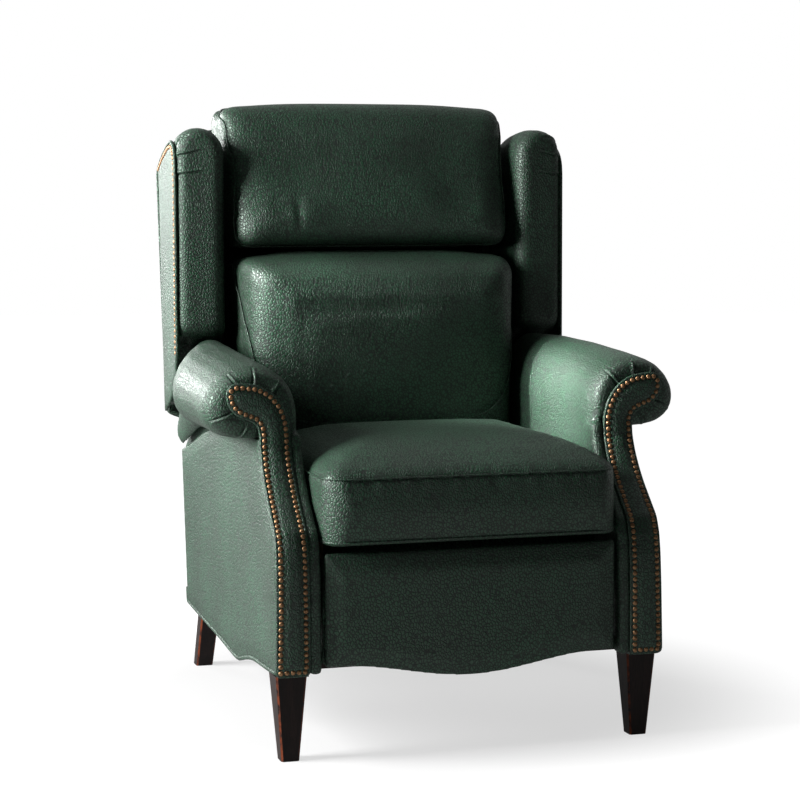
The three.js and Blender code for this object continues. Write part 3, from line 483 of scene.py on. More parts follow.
def chained(edges):
    """Orders loose edges, given as pairs of point indices, into one line: the longest."""
    near = {}
    for a, b in edges:
        near.setdefault(a, []).append(b)
        near.setdefault(b, []).append(a)
    lines, seen = [], set()
    for start in sorted(near, key=lambda k: len(near[k])):
        if start in seen:
            continue
        line = [start]
        seen.add(start)
        while True:
            onward = [k for k in near[line[-1]] if k not in seen]
            if not onward:
                break
            line.append(onward[0])
            seen.add(onward[0])
        lines.append(line)
    return max(lines, key=len)


def rim(name, look):
    """The outline of the faces of a solid that look along a direction."""
    mesh = merged_mesh(name)
    points = coordinates(mesh)
    count = {}
    for polygon in mesh.polygons:
        if polygon.normal.dot(Vector(look)) > 0.3:
            for key in polygon.edge_keys:
                count[key] = count.get(key, 0) + 1
    line = chained([key for key, times in count.items() if times == 1])
    bpy.data.meshes.remove(mesh)
    return points[line]


def level_line(piece, values):
    """The line on a piece along which a value given for each of its points passes zero."""
    points = coordinates(piece.data)
    ends = edge_ends(piece.data)
    low, high = values[ends[:, 0]], values[ends[:, 1]]
    crossed = (low < 0) != (high < 0)
    share = np.where(crossed, low / np.where(low == high, 1, low - high), 0)[:, None]
    places = points[ends[:, 0]] * (1 - share) + points[ends[:, 1]] * share
    pairs = []
    for polygon in piece.data.polygons:
        hit = [k for k in (piece.data.loops[i].edge_index for i in polygon.loop_indices) if crossed[k]]
        if len(hit) == 2:
            pairs.append(hit)
    return places[chained(pairs)]


def spaced(points, step):
    """The closed line again, with its points at even steps."""
    whole = np.vstack([points, points[:1]])
    lengths = np.r_[0, np.cumsum(np.linalg.norm(np.diff(whole, axis=0), axis=1))]
    count = max(int(round(lengths[-1] / step)), 3)
    at = np.linspace(0, lengths[-1], count, endpoint=False)
    return np.stack([np.interp(at, lengths, whole[:, k]) for k in range(3)], 1)


def eased(points, rounds, closed=True):
    """The line with its small corners rounded."""
    points = points.copy()
    for _ in range(rounds):
        middle = (np.roll(points, 1, 0) + np.roll(points, -1, 0)) / 2
        if not closed:
            middle[0], middle[-1] = points[0], points[-1]
        points += 0.5 * (middle - points)
    return points


def even_line(points, rounds, first=0.006, last=0.004):
    """A raw closed line, spaced, eased and spaced again."""
    return spaced(eased(spaced(points, first), rounds), last)


def distance_to_line(points, line):
    """How far each point is from a closed line of short steps."""
    best = np.full(len(points), 1e9)
    for a, b in zip(line, np.roll(line, -1, 0)):
        step = b - a
        share = np.clip(((points - a) @ step) / max(step @ step, 1e-12), 0, 1)
        best = np.minimum(best, np.linalg.norm(points - a - share[:, None] * step, axis=1))
    return best


def tube_mesh(line, radius, closed=True, sides=8):
    """A round cord along a line. Its frame is carried along without twist, and its ends are capped."""
    count = len(line)
    ahead = np.roll(line, -1, 0) - np.roll(line, 1, 0)
    if not closed:
        ahead[0], ahead[-1] = line[1] - line[0], line[-1] - line[-2]
    ahead /= np.linalg.norm(ahead, axis=1)[:, None]
    side = np.cross(ahead[0], (0.31, 0.52, 0.79))  # across any line of this chair
    frames = []
    for k in range(count):
        side = side - ahead[k] * side.dot(ahead[k])
        side /= np.linalg.norm(side)
        frames.append(side)
    frames = np.array(frames)
    other = np.cross(ahead, frames)
    twist = 0.0
    if closed:
        last = frames[-1] - ahead[0] * frames[-1].dot(ahead[0])
        twist = math.atan2(last.dot(other[0]), last.dot(frames[0]))
    verts, faces = [], []
    for k in range(count):
        for j in range(sides):
            turn = 2 * math.pi * j / sides - twist * k / count
            verts.append(line[k] + radius * (math.cos(turn) * frames[k] + math.sin(turn) * other[k]))
    for k in range(count if closed else count - 1):
        here, onward = k * sides, (k + 1) % count * sides
        for j in range(sides):
            beside = (j + 1) % sides
            faces.append((here + j, here + beside, onward + beside, onward + j))
    if not closed:
        faces.append(tuple(reversed(range(sides))))
        faces.append(tuple((count - 1) * sides + j for j in range(sides)))
    mesh = bpy.data.meshes.new("cord")
    mesh.from_pydata([tuple(v) for v in verts], [], faces)
    mesh.shade_smooth()
    return mesh


def welt(name, body, line, radius, closed=True):
    """A covered cord along a line, which rides on a body."""
    attach(new_piece(name, tube_mesh(line, radius, closed), leather), body)


def tree_of(piece):
    """A search tree over a piece's surface."""
    mesh = piece.data
    return BVHTree.FromPolygons([v.co for v in mesh.vertices], [p.vertices for p in mesh.polygons])


print("line helpers ready")

# %% [markdown]
# ## Cushions
#
# The seat and the two back cushions are foam in a sewn leather box: two panels and a boxing strip. Foam wrapped in
# fibre pushes the leather out everywhere except at the seams, and that is what a cloth simulation with pressure
# does. The solid's form is remeshed and shrunk by 8 mm, the seams are pinned, and twenty steps blow it up again.
# Sculpting by hand would give the crown, but not the uneven fullness between the seams. Foam has no sharp folds, so
# the swelling is evened before it is kept. A cushion may press against the arms but not into them, so it may stand
# out of its solid only where nothing touches it.

# %% Swell a cushion
CUSHION_VOXEL = 0.006
SHRINK = 0.008
STEPS = 20
CLOTH = {
    "quality": 6,
    "mass": 0.4,
    "tension_stiffness": 15,
    "compression_stiffness": 15,
    "bending_stiffness": 3,
    "use_pressure": True,
    "uniform_pressure_force": 4.0,
    "vertex_group_mass": "sewn",
}
TRAVEL = 0.024  # the most that a point may move while it swells
SAG = 0.003  # the most that a point may lie inside its form
ROOM = 0.006  # the most that it may stand out
EASE = 0.7  # of the swelling that is kept
EVENING = 45  # rounds that take the cloth's small creases out of the swelling
SEAM_RADIUS = 0.0015


def blown_up(piece, start, sewn):
    """Where the cloth simulation takes the points of a piece from their start."""
    set_coordinates(piece.data, start)
    group = piece.vertex_groups.new(name="sewn")
    for k in np.flatnonzero(sewn > 0.05):
        group.add([int(k)], float(sewn[k]), "REPLACE")
    cloth = piece.modifiers.new("Cloth", "CLOTH")
    for name, value in CLOTH.items():
        setattr(cloth.settings, name, value)
    cloth.settings.effector_weights.gravity = 0
    cloth.point_cache.frame_start = 1
    cloth.point_cache.frame_end = STEPS
    for step in range(1, STEPS + 1):
        scene.frame_set(step)
    end = evaluated_mesh(piece)
    moved = coordinates(end) - start
    bpy.data.meshes.remove(end)
    piece.modifiers.remove(cloth)
    piece.vertex_groups.clear()
    scene.frame_set(1)
    far = np.linalg.norm(moved, axis=1)
    return start + moved * np.minimum(1, TRAVEL / np.maximum(far, 1e-9))[:, None]


def swollen(piece, sewn, against):
    """sewn is 1 where the leather is stitched down, and against is 1 where something touches it."""
    form, normals = coordinates(piece.data), vertex_normals(piece.data)
    points = form.copy()
    points = blown_up(piece, form - normals * (SHRINK * (1 - sewn))[:, None], sewn)
    out = ((points - form) * normals).sum(1)
    room = ROOM * np.clip(1 - against, 0, 1)
    swell = points - normals * (out - np.clip(out, -SAG, room))[:, None] - form
    return form + EASE * smoothed(swell, edge_ends(piece.data), EVENING, sewn, TAUBIN[:1])


def ripple(along, wave, seed):
    """An uneven wave between -1 and 1 along a seam, the same each run."""
    turn = 2 * math.pi * along / wave
    waves = [(1, 1, 1), (0.7, 1.63, 2.1), (0.5, 0.57, 3.7)]
    return sum(high * np.sin(often * turn + late * seed) for high, often, late in waves) / 2.2


def sew_cushion(piece, solid, body, values, seam_name, depth, fill):
    """Draws a cushion in along its seam, where the values pass zero, and refines and attaches it."""
    seam = even_line(level_line(piece, values), 4)
    points, normals = coordinates(piece.data), vertex_normals(piece.data)
    drawn = depth * hump(distance_to_line(points, seam), 0.006)
    set_coordinates(piece.data, points - normals * drawn[:, None])
    finer = piece.modifiers.new("Subdivision", "SUBSURF")
    finer.levels = finer.render_levels = 1
    mesh = evaluated_mesh(piece)
    piece.modifiers.remove(finer)
    old, piece.data = piece.data, mesh
    bpy.data.meshes.remove(old)
    piece.data.shade_smooth()
    attach(piece, body, solid, fill=fill)
    welt(seam_name, body, seam, SEAM_RADIUS)
    return seam


print("pressure", CLOTH["uniform_pressure_force"], "for", STEPS, "steps")

# %% [markdown]
# The seat cushion lies on its deck between the arms. Its upper seam is plain, with a row of stitches, and its lower
# one has a welt.

# %% Seat cushion
SEAT_SEAM, SEAT_WELT, SEAT_HEM = 0.462, 0.359, 0.357  # heights of the upper seam, the welt and the pinned hem
SEAT_CORNER = 0.050  # radius of the front corners, seen from above
BOXING_MIDDLE, BOXING_HALF, BOXING_BULGE = 0.412, 0.052, 0.007  # of the front boxing strip
HEM_DROP = 0.005  # that the front hangs below its solid
CROWN_RISE = 0.011  # of the loose fibre on top of the seat's foam
SEAT_WELT_RADIUS = 0.003


def seat_form(points):
    """The solid's points with round front corners, a full boxing and a higher crown."""
    half, front = points[:, 0].max(), points[:, 1].min()
    across = np.maximum(np.abs(points[:, 0]) - (half - SEAT_CORNER), 0)
    ahead = np.maximum(front + SEAT_CORNER - points[:, 1], 0)
    share = np.minimum(1, SEAT_CORNER / np.maximum(np.hypot(across, ahead), 1e-9))
    both = (across > 0) & (ahead > 0)
    points[:, 0] -= np.where(both, across * (1 - share), 0) * np.sign(points[:, 0])
    points[:, 1] += np.where(both, ahead * (1 - share), 0)
    at_front = smoothstep(front + 0.055, front + 0.01, points[:, 1])
    bulge = np.clip(1 - ((points[:, 2] - BOXING_MIDDLE) / BOXING_HALF) ** 2, 0, 1)
    points[:, 1] -= BOXING_BULGE * at_front * bulge
    points[:, 2] -= HEM_DROP * at_front * smoothstep(0.43, 0.37, points[:, 2])
    dome = np.clip(1 - (points[:, 0] / half) ** 4, 0, 1) * smoothstep(front, front + 0.14, points[:, 1])
    points[:, 2] += CROWN_RISE * dome * smoothstep(SEAT_SEAM - 0.004, SEAT_SEAM + 0.015, points[:, 2])
    return points


def make_seat_cushion():
    piece = soft_form("seat_cushion_cover", ["seat_cushion"], CUSHION_VOXEL, 14)
    points = seat_form(coordinates(piece.data))
    set_coordinates(piece.data, smoothed(points, edge_ends(piece.data), 3))
    points, normals = coordinates(piece.data), vertex_normals(piece.data)
    at_rim = np.abs(normals[:, 2]) < 0.85
    sewn = np.maximum(hump(points[:, 2] - SEAT_SEAM, 0.005) * at_rim, hump(points[:, 2] - SEAT_HEM, 0.008))
    against = np.abs(normals[:, 0]) ** 2 + np.clip(normals[:, 1], 0, 1) + np.clip(-normals[:, 2], 0, 1)
    points = swollen(piece, sewn, against)
    gathers = ripple(points[:, 0] + 0.4 * points[:, 1], 0.043, 1.3) * hump(points[:, 2] - SEAT_SEAM, 0.022)
    points += normals * (0.0012 * gathers * np.clip(-normals[:, 1], 0, 1))[:, None]
    set_coordinates(piece.data, points)
    levels = points[:, 2] - SEAT_SEAM
    seam = sew_cushion(piece, "seat_cushion", "seat", levels, "seat_cushion_seam", 0.0022, 0.85)
    lower = even_line(level_line(piece, coordinates(piece.data)[:, 2] - SEAT_WELT), 6)
    welt("seat_cushion_welt", "seat", lower, SEAT_WELT_RADIUS)
    return piece, seam


seat_cushion, seat_seam = make_seat_cushion()
print("seat cushion:", len(seat_cushion.data.polygons), "faces")

# %% [markdown]
# The back cushion and the head pillow are sewn the same way, with the boxing at the back. The solid's crown rises in
# steps of flat facets, and the cover's rises more slowly, so the front is drawn in by the difference. The pillow is
# filled with loose fibre, so it puckers along its side seams and has a soft dimple where the filling has moved.

# %% Back cushion and head pillow
# How far in from the sides the crown has risen by a share: as in the solid, and in the softer cushion.
SOLID_CROWN = [(0, 0), (0.4, 0.03), (0.66, 0.1), (0.88, 0.25), (0.97, 0.5), (1, 1)]
SOFT_CROWN = [(0, 0), (0.4, 0.03), (0.66, 0.1), (0.80, 0.22), (0.88, 0.34), (0.97, 0.64), (1, 1)]
BACK_SLOPE, BACK_TOP = 0.1483, 1.045
CORNER_REACH = 0.035  # from where the front is drawn in sideways to where it is drawn in up or down


def softened_crown(points, edge, crown, lean, foot, top, round_over, half):
    """Draws the front of a cushion in from its sides, so that it rounds over slowly."""
    middle, high = (foot + top) / 2, (top - foot) / 2
    up = points[:, 2] - middle
    start = edge - BACK_SLOPE * (BACK_TOP - points[:, 2])
    rise = np.clip((start - points[:, 1]) / (crown - lean * up / high), 0, 1)
    solid = np.interp(rise, *np.array(SOLID_CROWN).T)
    soft = np.interp(rise, *np.array(SOFT_CROWN).T)
    sideways = np.exp(-((half - np.abs(points[:, 0])) / CORNER_REACH)) * np.sign(points[:, 0])
    upward = np.exp(-((high - np.abs(up)) / CORNER_REACH)) * np.sign(up)
    length = np.maximum(np.hypot(sideways, upward), 1e-9)
    shift = (soft - solid) * round_over
    moved = points.copy()
    moved[:, 0] -= shift * sideways / length
    moved[:, 2] -= shift * upward / length * 0.6
    return moved


def make_back_cushion(name, solid, form, arch, front_seam, fill, pucker, dimples):
    """front_seam gives the seam's depth at heights. Over the top the front panel wraps to the rear."""
    heights, depths = np.array(front_seam).T
    piece = soft_form(name, [solid], CUSHION_VOXEL, 6)
    points = softened_crown(coordinates(piece.data), **form)
    low, high = form["foot"], form["top"]
    points[:, 2] -= arch * smoothstep(low, high, points[:, 2]) * (np.abs(points[:, 0]) / form["half"]) ** 3
    set_coordinates(piece.data, smoothed(points, edge_ends(piece.data), 60))
    points, normals = coordinates(piece.data), vertex_normals(piece.data)
    behind = points[:, 1] - np.interp(points[:, 2], heights, depths)
    sewn = hump(behind, 0.004) * (points[:, 2] < heights[-2])
    against = np.abs(normals[:, 0]) ** 4 + np.clip(normals[:, 1], 0, 1) + 0.5 * np.clip(-normals[:, 2], 0, 1)
    points = swollen(piece, sewn, against)
    swell = ripple(points[:, 2], 0.031, 0.7) * hump(behind, 0.018) * (np.abs(normals[:, 2]) < 0.7)
    points += normals * (pucker * swell)[:, None]
    for spot, (wide, tall, deep) in dimples:
        away = points - np.array(spot)
        fade = np.exp(-((away[:, 0] / wide) ** 2) - (away[:, 2] / tall) ** 2) * (normals[:, 1] < 0)
        points -= normals * (deep * fade)[:, None]
    set_coordinates(piece.data, points)
    seam = sew_cushion(piece, solid, "back", behind, name + "_seam", 0.0024, fill)
    return piece, seam


# A dimple is its place, then its half width, half height and depth. A negative depth is a swell.
lower_cushion, lower_seam = make_back_cushion(
    "lower_back_cushion_cover",
    "lower_back_cushion",
    form=dict(edge=0.199, crown=0.115, lean=-0.032, foot=0.374, top=0.811, round_over=0.118, half=0.262),
    arch=0.004,
    front_seam=[
        (0.37, -0.05), (0.50, 0.015), (0.62, 0.061), (0.656, 0.0764), (0.723, 0.1146), (0.784, 0.158), (0.81, 0.24)
    ],
    fill=0.8,
    pucker=0.0006,
    dimples=[((-0.2, 0.06, 0.62), (0.05, 0.12, 0.002)), ((0.19, 0.05, 0.60), (0.06, 0.10, 0.002))],
)
pillow, pillow_seam = make_back_cushion(
    "head_pillow_cover",
    "head_pillow",
    form=dict(edge=0.221, crown=0.078, lean=0.026, foot=0.818, top=1.092, round_over=0.092, half=0.275),
    arch=0.010,
    front_seam=[
        (0.81, 0.140), (0.8416, 0.1418), (0.9385, 0.1478), (0.9826, 0.1611), (1.0141, 0.1791), (1.053, 0.190),
        (1.085, 0.30),
    ],
    fill=0.65,
    pucker=0.0016,
    dimples=[
        ((-0.1494, 0.1083, 0.8877), (0.007, 0.026, 0.0035)),
        ((-0.135, 0.1083, 0.885), (0.03, 0.03, -0.0018)),
        ((0.16, 0.11, 0.91), (0.05, 0.035, 0.0025)),
        ((-0.2525, 0.1432, 0.9586), (0.016, 0.012, 0.003)),
        ((0.02, 0.1, 0.86), (0.10, 0.02, 0.0015)),
    ],
)
print("back cushions:", len(lower_cushion.data.polygons), len(pillow.data.polygons), "faces")

# %% [markdown]
# The rail under the seat is wrapped in the same leather, since it shows above the footrest, and black cambric is
# stretched over the front of the back frame, behind the cushions.

# %% Rail cover and inside back cloth
RAIL_SKIN, RAIL_GAP = 0.0024, 0.0005
FRAME_DEPTH = 0.145  # of the back frame, measured from its rear face at the top
CLOTH_HALF, CLOTH_FOOT, CLOTH_HEAD = 0.262, 0.39, 1.02  # half width, and heights of the lower and upper edge
CLOTH_COLUMNS, CLOTH_ROWS = 26, 30
CLOTH_AHEAD = 0.0003


def make_rail_cover():
    low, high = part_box("seat_frame")
    front = low.y - RAIL_GAP
    cover = bevelled_block("seat_rail_cover", (low.x, front - RAIL_SKIN, low.z), (high.x, front, high.z), 0.001)
    attach(cover, "seat")


def make_back_cloth():
    """A sheet just ahead of the back frame, which leans with it."""
    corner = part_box("back_frame")[1]
    face = corner.y - FRAME_DEPTH
    verts, faces = [], []
    for r in range(CLOTH_ROWS + 1):
        z = CLOTH_FOOT + (CLOTH_HEAD - CLOTH_FOOT) * r / CLOTH_ROWS
        y = face - BACK_SLOPE * (corner.z - z) - CLOTH_AHEAD
        verts += [(-CLOTH_HALF + 2 * CLOTH_HALF * c / CLOTH_COLUMNS, y, z) for c in range(CLOTH_COLUMNS + 1)]
    for r in range(CLOTH_ROWS):
        for c in range(CLOTH_COLUMNS):
            a = r * (CLOTH_COLUMNS + 1) + c
            faces.append((a, a + 1, a + CLOTH_COLUMNS + 2, a + CLOTH_COLUMNS + 1))
    mesh = bpy.data.meshes.new("back_cloth")
    mesh.from_pydata(verts, [], faces)
    piece = new_piece("inside_back_cloth", mesh, cambric)
    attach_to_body(piece, "back")


make_rail_cover()
make_back_cloth()

# %% [markdown]
# ## Arms and wings
#
# One hide runs from the seat up the padded inner arm and over the roll, so the two solids are remeshed as one piece.
# At the scroll the leather is gathered into short pleats under the edge of the arm front, because a flat sheet does
# not lie smoothly round a bend. Each pleat is a fold: a narrow groove with the doubled leather standing up beside it.
# The net is made finer there first, since a groove of 2 mm needs squares of 1 mm.
#
# The wing is a board with thick padding round its front edge and over its inner face. Its leather is pulled over the
# top in three shallow pleats, which start at the welt beside the nails.

# %% Fold pleats into a piece
FOLD_REACH = 0.014  # how far beside a fold the net is made finer
FOLD_WINDOW = 0.06  # edges further off than this aren't looked at
FOLD_WIDTH = 0.016  # no fold shows beyond this
FOLD_GROOVE = 0.0013
FOLD_RIDGE, FOLD_RIDGE_WIDTH = 0.0030, 0.0026


def refined_near(mesh, folds):
    """Cuts the net's squares in four beside the folds, and again."""
    net = bmesh.new()
    net.from_mesh(mesh)
    for _ in range(2):
        fine = set()
        for a, b in folds:
            a, b = Vector(a), Vector(b)
            step = b - a
            for e in net.edges:
                middle = (e.verts[0].co + e.verts[1].co) / 2
                if abs(middle.x - a.x) > FOLD_WINDOW or abs(middle.z - a.z) > FOLD_WINDOW:
                    continue
                share = min(max((middle - a).dot(step) / step.length_squared, 0), 1.2)
                if (middle - a - step * share).length < FOLD_REACH:
                    fine.add(e)
        bmesh.ops.subdivide_edges(net, edges=list(fine), cuts=1, use_grid_fill=True)
    net.to_mesh(mesh)
    net.free()


def folded(piece, folds, depth, centre):
    """Each fold runs from the first point, where it is deepest, to the second. centre gives the side of its ridge."""
    refined_near(piece.data, folds)
    points, normals = coordinates(piece.data), vertex_normals(piece.data)
    for a, b in folds:
        a, b = np.array(a), np.array(b)
        step = b - a
        length = np.linalg.norm(step)
        share = ((points - a) @ step) / length**2
        away = points - a - np.clip(share, 0, 1)[:, None] * step
        far = np.linalg.norm(away, axis=1)
        toward = np.sign((np.array(centre) - a) @ np.cross(normals[np.argmin(far)], step))
        across = (away * np.cross(normals, step / length)).sum(1) * (toward or 1)
        taper = np.clip(1 - np.clip(share, 0, 1), 0, 1) ** 0.6 * smoothstep(-0.5, 0.0, share) * (far < FOLD_WIDTH)
        groove = -depth * hump(across, FOLD_GROOVE)
        ridge = 0.75 * depth * hump(across - FOLD_RIDGE, FOLD_RIDGE_WIDTH)
        points += normals * ((groove + ridge) * taper)[:, None]
    set_coordinates(piece.data, points)
    piece.data.shade_smooth()


print("fold depth is set per piece, groove", FOLD_GROOVE, "ridge", FOLD_RIDGE)

# %% Arm and wing padding
PADDING_VOXEL = 0.0045
# Each pleat's two ends, on the left side.
ARM_PLEATS = [
    [(0.3715, -0.3177, 0.6120), (0.3800, -0.2960, 0.6260)],
    [(0.3390, -0.3177, 0.6110), (0.3350, -0.2930, 0.6330)],
    [(0.3060, -0.3177, 0.5880), (0.2960, -0.2960, 0.6050)],
    [(0.3840, -0.3177, 0.5590), (0.4000, -0.2960, 0.5520)],
    [(0.3560, -0.3177, 0.5300), (0.3640, -0.2960, 0.5100)],
]
WING_PLEATS = [
    [(0.3673, 0.1445, 1.0158), (0.3300, 0.1250, 1.0280)],
    [(0.3648, 0.1298, 0.9908), (0.3260, 0.1225, 1.0000)],
    [(0.3637, 0.1291, 0.9565), (0.3200, 0.1225, 0.9620)],
]


def make_padding(name, solids, body, sign, pleats, depth, centre, rounds, grow=0.0):
    piece = soft_form(name, solids, PADDING_VOXEL, rounds, grow)
    surface = tree_of(piece)
    folds = [[tuple(surface.find_nearest(Vector((x * sign, y, z)))[0]) for x, y, z in fold] for fold in pleats]
    folded(piece, folds, depth, (centre[0] * sign, *centre[1:]))
    attach(piece, body, *solids, fill=0.85)
    print(name, len(piece.data.polygons), "faces")


for side, sign in SIDES.items():
    solids = [f"arm_roll_{side}", f"arm_inside_pad_{side}"]
    centre = (0.34, -0.30, 0.57)
    make_padding(f"arm_padding_{side}", solids, "root", sign, ARM_PLEATS, 0.0032, centre, 36, 0.0004)
    centre = (0.33, 0.13, 1.05)
    make_padding(f"wing_padding_{side}", [f"wing_pad_{side}"], "back", sign, WING_PLEATS, 0.0028, centre, 26)

# %% [markdown]
# The arm front is a thin bent board in leather. It is pulled down along its rim by the nails and stands up a little
# between the two rows, where there is a layer of felt under the leather. That shape depends only on how far a point
# is from the rim, so the distance to the outline drives it.

# %% Arm fronts
FRONT_VOXEL = 0.0026
NAIL_INSET = 0.0056  # of the nail row inside the rim
NAIL_PULL, NAIL_PULL_WIDTH = 0.0009, 0.0028
FELT_RISE = 0.0032  # of the leather between the nail rows
FRONT_WELT_SET, FRONT_WELT_RADIUS = 0.0035, 0.0030
arm_fronts = {}


def rim_distance(points, outline, axes):
    """How far points are inside an outline, seen along the third axis."""
    flat_points, flat_line = np.zeros((len(points), 3)), np.zeros((len(outline), 3))
    flat_points[:, :2], flat_line[:, :2] = points[:, axes], outline[:, axes]
    return distance_to_line(flat_points, flat_line)


def make_arm_front(side):
    solid = f"arm_front_panel_{side}"
    outline = rim(solid, (0, -1, 0))
    piece = soft_form(f"arm_front_{side}", [solid], FRONT_VOXEL, 5)
    points, normals = coordinates(piece.data), vertex_normals(piece.data)
    inside = rim_distance(points, outline, [0, 2])
    front = smoothstep(0.3, 0.7, -normals[:, 1])
    rise = FELT_RISE * smoothstep(0.006, 0.020, inside) - NAIL_PULL * hump(inside - NAIL_INSET, NAIL_PULL_WIDTH)
    set_coordinates(piece.data, points + normals * (front * rise)[:, None])
    attach(piece, "root", solid, fill=0.5)
    edge = even_line(outline, 2, 0.005, 0.0035)
    edge[:, 1] += FRONT_WELT_SET
    welt(f"arm_front_welt_{side}", "root", edge, FRONT_WELT_RADIUS)
    print("arm front", side, len(piece.data.polygons), "faces, rim points", len(outline))
    return piece, outline


for side in SIDES:
    arm_fronts[side] = make_arm_front(side)

# %% [markdown]
# Where the roll lifts off the arm frame, beside the wings and round the footrest, the wood would show. There the
# upholsterer glues a thin leather lining straight onto it. It is the solid's own skin, a hair outside it.

# %% Leather linings on the wood
LINING_LIFT = 0.00012
LINING = 0.0001


def make_lining(name, solid, body):
    piece = new_piece(name, merged_mesh(solid, grow=LINING_LIFT), leather)
    wall = piece.modifiers.new("Solidify", "SOLIDIFY")
    wall.thickness, wall.offset = LINING, 1.0
    mesh = evaluated_mesh(piece)
    piece.modifiers.remove(wall)
    piece.data = mesh
    attach(piece, body)
    print(name, len(mesh.polygons), "faces")


for side in SIDES:
    make_lining(f"arm_frame_lining_{side}", f"arm_frame_{side}", "root")
    make_lining(f"wing_lining_{side}", f"wing_core_{side}", "back")
make_lining("back_frame_lining", "back_frame", "back")
make_lining("footrest_lining", "footrest_board", "footrest")

# %% [markdown]
# ## Panels
#
# The outside of the arms, the wings and the back are leather over a thin layer of felt on board or webbing. They are
# nearly flat: they swell by 2 or 3 mm away from their edges, and a welt closes the edge. The footrest has thicker
# padding, which swells by 7 mm.

# %% A felted panel
FOOTREST_LIFT = 0.004  # of the padding's top edge


def make_panel(name, solid, body, look, voxel, rise, reach, fill=0.4, rounds=4):
    """A panel that stands out by rise at more than reach from its rim, on the side that looks along look."""
    outline = rim(solid, look)
    axes = [k for k in range(3) if abs(look[k]) < 0.5]
    piece = soft_form(name, [solid], voxel, rounds)
    points, normals = coordinates(piece.data), vertex_normals(piece.data)
    inside = rim_distance(points, outline, axes)
    outer = smoothstep(0.3, 0.7, normals @ np.array(look, float))
    set_coordinates(piece.data, points + normals * (outer * rise * smoothstep(0, reach, inside))[:, None])
    attach(piece, body, solid, fill=fill)
    print(name, len(piece.data.polygons), "faces, rim points", len(outline))
    return piece, outline


outside_arms, wing_panels = {}, {}
for side, sign in SIDES.items():
    solid = f"outside_arm_panel_{side}"
    outside_arms[side] = make_panel(f"outside_arm_{side}", solid, "root", (sign, 0, 0), 0.004, 0.0025, 0.03)
    solid = f"wing_outside_panel_{side}"
    wing_panels[side] = make_panel(f"wing_outside_{side}", solid, "back", (sign, 0, 0), 0.0035, 0.0018, 0.02)
back_rim = make_panel("outside_back_cover", "outside_back", "back", (0, 1, 0), 0.005, 0.003, 0.05)[1]
footrest_front = make_panel(
    "footrest_front", "footrest_pad", "footrest", (0, -1, 0), 0.0035, 0.007, 0.035, fill=0.7, rounds=16
)[0]
points = coordinates(footrest_front.data)
points[:, 2] += FOOTREST_LIFT * smoothstep(0.28, 0.337, points[:, 2])
set_coordinates(footrest_front.data, points)

# %% [markdown]
# At the footrest's sides the leather goes round the board and ends behind it. Nothing else shows there, so a thin
# bevelled block is enough.

# %% Leather returns at the footrest's sides
RETURN_GAP, RETURN_SKIN, RETURN_DEPTH = 0.0009, 0.0024, 0.030
RETURN_INSET = 0.001  # behind the board's face, and below its corner
RETURN_DROP = 0.004  # of its upper end, below the board's top


def make_return(side):
    low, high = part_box("footrest_board")
    corners = coordinates(nodes["footrest_board"].data)
    foot = corners[np.abs(corners[:, 0]) > high.x - 0.004, 2].min()
    inner = high.x + RETURN_GAP
    across = sorted((SIDES[side] * inner, SIDES[side] * (inner + RETURN_SKIN)))
    near = (across[0], low.y + RETURN_INSET, foot - RETURN_INSET)
    far = (across[1], low.y + RETURN_DEPTH, high.z - RETURN_DROP)
    attach(bevelled_block(f"footrest_return_{side}", near, far, 0.0009), "footrest")


for side in SIDES:
    make_return(side)
print("returns reach", RETURN_DEPTH, "m back")

# %% Welts along the panels


def part_of(line, keep):
    """The longest run of a closed line whose points pass a test."""
    passed = np.array([bool(keep(p)) for p in line])
    if passed.all():
        return line
    start = int(np.flatnonzero(~passed)[0])
    line, passed = np.roll(line, -start, 0), np.roll(passed, -start)
    runs, run = [], []
    for point, good in zip(line, passed):
        if good:
            run.append(point)
        elif run:
            runs.append(run)
            run = []
    if run:
        runs.append(run)
    return np.array(max(runs, key=len))


def panel_welt(name, body, outline, keep, inward, radius):
    """A welt along the part of a panel's rim that passes a test, set inward along X."""
    line = eased(part_of(spaced(outline, 0.004), keep), 3, closed=False)
    line[:, 0] -= inward
    welt(name, body, line, radius, closed=False)


def on_hem(p):
    """On the lower edge of the outside arm, behind the arm front."""
    return p[2] < 0.165 and p[1] > -0.436


def on_wing_edge(p):
    """On the wing's outer edge, apart from where it meets the outside back."""
    return p[2] > 0.6 and not (p[1] > 0.40 and p[2] < 0.97)


for side, sign in SIDES.items():
    panel_welt(f"arm_hem_welt_{side}", "root", outside_arms[side][1], on_hem, sign * 0.002, 0.0038)
    panel_welt(f"wing_welt_{side}", "back", wing_panels[side][1], on_wing_edge, sign * 0.001, 0.0032)
back_line = even_line(back_rim, 3)
back_line[:, 1] -= 0.002
welt("outside_back_welt", "back", back_line, 0.0032)

# %% [markdown]
# ## Nails and stitches
#
# A row of domed nails holds the leather round each arm front and along each wing, and a fine stitch follows each
# cushion seam. Both are one shape repeated along a line, which is what Geometry Nodes are for: the line is resampled
# at the pitch, a low dome is set on every point and turned to stand on the surface, and the result is made real. The
# nails could be placed by a loop over bpy objects, but hundreds of objects are slow and hard to change.

# %% The row of small shapes
BURIED = -0.1  # of the ball's radius: what is lower lies in the leather and is left out


